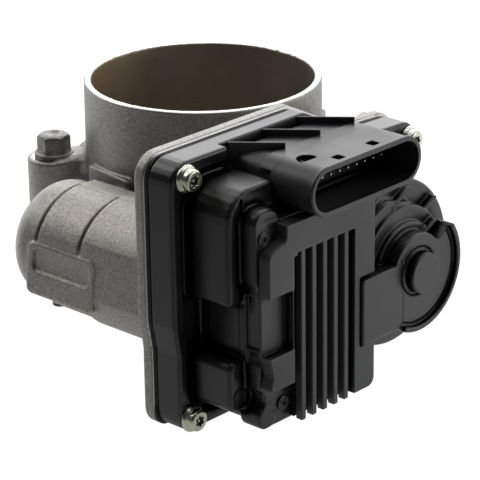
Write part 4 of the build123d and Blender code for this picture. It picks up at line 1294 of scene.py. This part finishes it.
class THROTTLE_OT_panel(bpy.types.Operator):
    """Ribbed control module panel and the heat stakes beside it"""

    bl_idname = "throttle.panel"
    bl_label = "Module panel"

    def execute(self, context):
        s = context.scene.throttle_sizes
        step = cell(s.small_step)
        block = Block((86.6, -71.5, -8.4), (94.0, -19.0, 60.6), step)
        block.add(prism("x", panel_outline(), STAKE_X, PANEL_X, 0.4))
        last = FIN_FIRST_Y + FIN_PITCH * FIN_COUNT
        slots = rounded_rect(FIN_FIRST_Y - FIN_GAP, last, PANEL_LOW - 6, FIN_TOP, 0.6)
        block.cut(prism("x", slots, STAKE_X + 1.0, PANEL_X + 2, 0.2))
        left = FIN_FIRST_Y - 3.4
        block.add(brick(PANEL_X - 3, PANEL_X, left, left + 2.0, FIN_TOP - 1, FIN_TOP + 1, 0, 0.3))
        recess = rounded_rect(PANEL_L - 2, PANEL_L + 10.6, 18.0, 37.5, 1.0)
        block.cut(prism("x", recess, STAKE_X + 1.0, PANEL_X + 2, 0.2))
        slot = rounded_rect(PANEL_L + 10.9, PANEL_L + 12.0, 18.0, 37.5, 0.2)
        block.cut(prism("x", slot, STAKE_X + 1.0, PANEL_X + 2))
        piece = moulded(block, "module_panel", 120000)
        # painted shade on the panel floor among its ribs
        shut_in(piece.data, between_fins, 0.75)
        coat(piece, Finishes.get("panel"))
        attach(piece, "housing")
        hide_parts("module_plate")
        fins = repeated(
            "panel_fins",
            fin_source(),
            (PANEL_X, FIN_FIRST_Y, FIN_TOP - 0.2),
            (0, FIN_PITCH, 0),
            FIN_COUNT,
            Finishes.get("panel"),
        )
        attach(fins, "housing")
        self.stakes()
        return {"FINISHED"}

    def stakes(self):
        block = Block((-2.2, -3.2, -3.2), (1.4, 3.2, 3.2), 0.12)
        block.add(bar("x", 0, 0, 1.3, -1.7, 0.1))
        block.add(bar("x", 0, 0, 2.4, 0.0, 0.7, 0.3))
        block.cut(prism("x", without(circle(0, 0, 1.9), circle(0, 0, 1.3)), 0.45, 1.5), 0.1)
        block.cut(prism("x", star(0.75, 0.16, 6), 0.15, 1.5), 0.05)
        spots = [(STAKE_X, y, z) for y, z in STAKES]
        material = Finishes.get("plastic")
        source = moulded(block, "stake", 9000)
        piece = set_on_spots("staked_heads", source, spots, [(0, 0, 0)] * 2, material)
        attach(piece, "housing")
        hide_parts("heat_stakes")


def star(r, wave, points):
    """A lobed recess outline for a star driver."""

    def distance(a, b):
        turn = np.arctan2(b, a)
        return (np.sqrt(a * a + b * b) - (r + wave * np.cos(points * turn))) * 0.9

    reach = r + wave
    return Outline(distance, (-reach, -reach), (reach, reach))


# ------------------------------------------------------------------ the socket
class THROTTLE_OT_socket(bpy.types.Operator):
    """Oval wiring socket with its contacts"""

    bl_idname = "throttle.socket"
    bl_label = "Wiring socket"

    def execute(self, context):
        s = context.scene.throttle_sizes
        step = cell(s.small_step)
        block = Block((63.0, -57.8, 58.6), (99.0, -3.6, 76.6), step)
        top = SOCKET_Z + SOCKET_HALF_H
        outer = round_socket()
        inner = round_socket(SOCKET_WALL, SOCKET_WALL, SOCKET_WALL + 0.1)
        block.add(prism("x", grown(round_socket(1.8, 0.7, 0.8), -0.05), 64.0, 83.0, 0.5))
        block.add(prism("x", grown(outer, -0.35), SOCKET_BACK_X, SOCKET_FRONT_X - 0.2, 0.9), 0.3)
        block.add(prism("x", outer, SOCKET_FRONT_X - 1.4, SOCKET_FRONT_X, 0.3), 0.3)
        # roof of the socket carried back over the pockets
        roof = without(grown(outer, -0.35), rounded_rect(-70, 0, 50, 71.5, 0))
        block.add(prism("x", roof, SOCKET_ROOF_X, SOCKET_BACK_X + 1, 0.4), 0.2)
        block.cut(prism("x", inner, SOCKET_BACK_X + 3, SOCKET_FRONT_X + 2, 0.8), 0.25)
        # moulded guide ribs under the roof of the socket
        back, front = SOCKET_BACK_X + 2, SOCKET_FRONT_X - 4
        for offset in (-16.0, -8.0, 0.0, 8.0, 16.0):
            y = SOCKET_Y + offset
            block.add(brick(back, front, y - 0.5, y + 0.5, top - 2.4, top - 1, 0.1, 0.2), 0.2)
        # notches on the roof
        for x0, x1, y0, y1 in ((92.0, 95.2, -41.1, -37.9), (91.6, 94.8, -24.6, -21.4)):
            block.cut(brick(x0, x1, y0, y1, top - 1.5, top + 2, 0.3, 0.1, "z"), 0.1)
        dee = without(circle(87.4, -46.6, 3.3), rounded_rect(88.6, 99, -60, -30, 0))
        block.cut(prism("z", dee, top - 1.5, top + 2, 0.1), 0.1)
        piece = moulded(block, "socket_shell", 130000)
        coat(piece, Finishes.get("socket"))
        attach(piece, "housing")
        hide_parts("connector_shell")
        self.contacts()
        return {"FINISHED"}

    def contacts(self):
        block = Block((-30.0, -0.9, -0.9), (1.0, 0.9, 0.9), 0.14)
        block.add(brick(-29.4, 0.0, -0.34, 0.34, -0.34, 0.34, 0.05, 0.2))
        source = moulded(block, "contact", 3000)
        first = SOCKET_Y - PIN_PITCH * (PIN_COUNT - 1) / 2
        start = (SOCKET_FRONT_X - 9.5, first, SOCKET_Z)
        tinned = Finishes.get("tinned")
        piece = repeated("socket_contacts", source, start, (0, PIN_PITCH, 0), PIN_COUNT, tinned)
        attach(piece, "housing")
        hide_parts("connector_pins")


# ------------------------------------------------------------------ fasteners
HEX_R = 5.7735


def cover_screw_source():
    block = Block((-16.0, -5.4, -5.4), (5.2, 5.4, 5.4), 0.16)
    block.add(bar("x", 0, 0, 1.95, -14.8, 0.5, 0.3))
    block.add(bar("x", 0, 0, 4.4, 0.0, 1.1, 0.45))
    block.add(bar("x", 0, 0, 4.1, 0.6, 1.7, 0.5), 0.2)
    block.add(bar("x", 0, 0, 3.5, 1.0, 4.0, 0.9), 0.25)
    block.cut(prism("x", star(1.55, 0.32, 6), 1.9, 6.0, 0.0), 0.18)
    block.add(bar("x", 0, 0, 0.55, 1.6, 3.5, 0.15))
    return moulded(block, "cover_screw", 24000)


def flange_bolt_source():
    block = Block((-7.6, -7.6, -56.5), (7.6, 7.6, 9.0), 0.24)
    hexagon = []
    for k in range(6):
        turn = math.radians(60 * k)
        hexagon.append((HEX_R * math.cos(turn), HEX_R * math.sin(turn), 0.35))
    block.add(bar("z", 0, 0, 2.85, -50.0, 0.5))
    for k in range(9):
        block.add(bar("z", 0, 0, 3.0, -54.8 + k, -54.25 + k, 0.22), 0.1)
    block.add(bar("z", 0, 0, 6.7, 0.0, 1.6, 0.55))
    block.add(bar("z", 0, 0, 6.3, 0.4, 2.5, 0.3, 0.45), 0.5)
    head = prism("z", polygon(hexagon, 3), 0.8, 8.0, 0.3)
    crown = ball(0, 0, -1.1, 9.9)

    def capped(p):
        return soft_max(head.distance(p), crown.distance(p), 0.4)

    block.add(Solid(capped, head.low, head.high), 0.35)
    block.cut(ball(0, 0, 12.6, 5.2), 0.3)
    return moulded(block, "flange_bolt", 16000)


class THROTTLE_OT_fasteners(bpy.types.Operator):
    """Cover screws and manifold flange bolts"""

    bl_idname = "throttle.fasteners"
    bl_label = "Screws and bolts"

    def execute(self, context):
        spots = [(SKIRT_X, y, z) for y, z in COVER_SCREWS]
        turns = [(math.radians(a), 0, 0) for a in (12, 31, 50, 5)]
        zinc = Finishes.get("zinc")
        screws = set_on_spots("star_screws", cover_screw_source(), spots, turns, zinc)
        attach(screws, "housing")
        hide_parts("cover_screws")
        spots = [(x, y, SEAT_Z) for x, y in LUGS]
        turns = [(0, 0, math.radians(a)) for a in (47, 12, 33, 4)]
        dull = Finishes.get("bolt")
        bolts = set_on_spots("flange_bolts", flange_bolt_source(), spots, turns, dull)
        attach(bolts, "housing")
        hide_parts("manifold_bolts")
        return {"FINISHED"}


# ------------------------------------------------------------------ pieces kept from the CAD
KEPT = {
    "throttle_plate": "disc",
    "throttle_shaft": "ground",
    "plate_screws": "brass",
    "retaining_ring": "spring",
    "ball_bearing": "ground",
    "needle_bearing": "ground",
    "shaft_seals": "rubber",
    "shaft_end_plug": "tinned",
    "return_spring": "spring",
    "spring_bush": "nylon",
    "sector_gear": "nylon",
    "sensor_rotor": "plastic",
    "idler_gear": "nylon",
    "idler_pin": "ground",
    "motor_can": "tinned",
    "motor_magnets": "magnet",
    "motor_armature": "ground",
    "motor_end_plate": "tinned",
    "motor_terminals": "tinned",
    "motor_screws": "zinc",
    "motor_pinion": "brass",
    "wave_washer": "spring",
    "control_board": "board",
    "board_chips": "chip",
    "dowels": "ground",
    "cover_gasket": "rubber",
}


class THROTTLE_OT_kept_pieces(bpy.types.Operator):
    """Finishes for the CAD pieces whose shapes stay"""

    bl_idname = "throttle.kept_pieces"
    bl_label = "Kept pieces"

    def execute(self, context):
        for node, finish in KEPT.items():
            finish_node(node, Finishes.get(finish))
        return {"FINISHED"}


# ------------------------------------------------------------------ the stage
FRONT = (0.35, -0.93, 0.08)


AIM = (0.02, -0.02, 0.035)


def area_light(name, at, size, power, colour=(1, 1, 1)):
    data = bpy.data.lights.new(name, "AREA")
    data.energy = power
    data.color = colour
    data.shape = "SQUARE"
    data.size = size
    lamp = link(data, name)
    lamp.location = at
    lamp.rotation_euler = (Vector(AIM) - Vector(at)).to_track_quat("-Z", "Y").to_euler()


def soft_world(scene):
    """Room that is white where it is seen, and mirrored as darker towards the front."""
    world = bpy.data.worlds.new("soft_studio")
    scene.world = world
    world.use_nodes = True
    tree = world.node_tree
    tree.nodes.clear()
    add = adder(tree)
    where = add("ShaderNodeTexCoord").outputs["Generated"]
    front = add("ShaderNodeVectorMath", {0: where, 1: FRONT}, operation="DOT_PRODUCT").outputs["Value"]
    spread = add("ShaderNodeMapRange", {"Value": front, "From Min": -1.0}).outputs["Result"]
    fall = add("ShaderNodeValToRGB", {"Fac": spread})
    stops = ((0.0, 0.92), (0.28, 0.72), (0.46, 0.36), (0.62, 0.05), (1.0, 0.015))
    while len(fall.color_ramp.elements) < len(stops):
        fall.color_ramp.elements.new(0.5)
    for element, (at, value) in zip(fall.color_ramp.elements, stops):
        element.position = at
        element.color = (value, value, value * 1.01, 1)
    glow = add("ShaderNodeBackground", {"Color": fall.outputs["Color"], "Strength": 1.15})
    plain = add("ShaderNodeBackground", {"Color": (1, 1, 1, 1)})
    seen = add("ShaderNodeLightPath").outputs["Is Camera Ray"]
    pick = add("ShaderNodeMixShader", {0: seen, 1: glow.outputs[0], 2: plain.outputs[0]})
    add("ShaderNodeOutputWorld", {"Surface": pick.outputs[0]})


class THROTTLE_OT_stage(bpy.types.Operator):
    """Pale floor, soft lights and the camera"""

    bl_idname = "throttle.stage"
    bl_label = "Stage"

    def execute(self, context):
        scene = context.scene
        s = scene.throttle_stage
        scene.view_settings.view_transform = "Standard"
        soft_world(scene)
        self.floor()
        area_light("key_left", (-0.85, -0.35, 0.75), 0.6, s.key * 0.85, (1.0, 0.985, 0.96))
        area_light("back_sheet", (-0.75, 0.8, 0.62), 1.0, s.key * 1.7)
        area_light("top_sheet", (0.0, 0.0, 1.1), 0.8, s.key * 0.7)
        area_light("fill_right", (0.95, 0.6, 0.25), 0.4, s.fill * 0.5, (0.96, 0.98, 1.0))
        self.camera(scene, s)
        return {"FINISHED"}

    def floor(self):
        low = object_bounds()[0].z - 0.0003
        mesh = bpy.data.meshes.new("floor")
        r = 6.0
        mesh.from_pydata([(-r, -r, low), (r, -r, low), (r, r, low), (-r, r, low)], [], [(0, 1, 2, 3)])
        floor = link(mesh, "floor")
        material, tree, shader, add = new_material("pale_floor")
        shader.inputs["Base Color"].default_value = (0.30, 0.30, 0.30, 1)
        shader.inputs["Roughness"].default_value = 0.8
        shader.inputs["Specular IOR Level"].default_value = 0.1
        shader.inputs["Emission Color"].default_value = (1, 1, 1, 1)
        # white where it is seen, and darker towards the front where it is mirrored
        ahead = add("ShaderNodeVectorMath", {0: place(add), 1: FRONT}, operation="DOT_PRODUCT")
        mirrored = scaled(add, ahead.outputs["Value"], 0.66, 0.03, 0.0, 0.17)
        seen = scaled(add, add("ShaderNodeLightPath").outputs["Is Camera Ray"], 0.0, 1.0)
        glow = product(add, mirrored, seen, "MAXIMUM")
        tree.links.new(glow, shader.inputs["Emission Strength"])
        mesh.materials.append(material)
        floor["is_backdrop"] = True

    def camera(self, scene, s):
        a, e, k = s.azimuth, s.elevation, s.roll
        right = Vector((math.cos(a), math.sin(a), 0))
        ahead = Vector((-math.sin(a) * math.cos(e), math.cos(a) * math.cos(e), -math.sin(e)))
        up = Vector((-math.sin(a) * math.sin(e), math.cos(a) * math.sin(e), math.cos(e)))
        at = right * (11.7 * MM) + up * (-55.5 * MM) - ahead * s.distance + Vector((0, 0, RIM_Z * MM))
        side = right * math.cos(k) + up * math.sin(k)
        top = up * math.cos(k) - right * math.sin(k)
        data = bpy.data.cameras.new("camera")
        data.lens = s.lens
        data.sensor_width = 36.0
        data.clip_start = 0.05
        cam = link(data, "camera")
        turn = Matrix((side, top, -ahead)).transposed().to_4x4()
        cam.matrix_world = Matrix.Translation(at) @ turn
        scene.camera = cam


class THROTTLE_PT_panel(bpy.types.Panel):
    """Lists the pieces of the throttle body"""

    bl_idname = "THROTTLE_PT_panel"
    bl_label = "Throttle body"
    bl_space_type = "VIEW_3D"
    bl_region_type = "UI"
    bl_category = "Throttle body"

    def draw(self, context):
        for operator in OPERATORS:
            self.layout.operator(operator.bl_idname)
        scene = context.scene
        for group in (scene.throttle_sizes, scene.throttle_finish, scene.throttle_stage):
            for key in group.__annotations__:
                self.layout.prop(group, key)


OPERATORS = (
    THROTTLE_OT_casting,
    THROTTLE_OT_cover,
    THROTTLE_OT_panel,
    THROTTLE_OT_socket,
    THROTTLE_OT_fasteners,
    THROTTLE_OT_kept_pieces,
    THROTTLE_OT_stage,
)
GROUPS = (ThrottleSizes, ThrottleFinish, ThrottleStage)


def register():
    for cls in (*GROUPS, *OPERATORS, THROTTLE_PT_panel):
        bpy.utils.register_class(cls)
    bpy.types.Scene.throttle_sizes = bpy.props.PointerProperty(type=ThrottleSizes)
    bpy.types.Scene.throttle_finish = bpy.props.PointerProperty(type=ThrottleFinish)
    bpy.types.Scene.throttle_stage = bpy.props.PointerProperty(type=ThrottleStage)


def unregister():
    del bpy.types.Scene.throttle_sizes
    del bpy.types.Scene.throttle_finish
    del bpy.types.Scene.throttle_stage
    for cls in (*GROUPS, *OPERATORS, THROTTLE_PT_panel):
        bpy.utils.unregister_class(cls)


def main():
    register()
    for operator in OPERATORS:
        group, name = operator.bl_idname.split(".")
        getattr(getattr(bpy.ops, group), name)()
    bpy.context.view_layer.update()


if __name__ == "__main__":
    main()
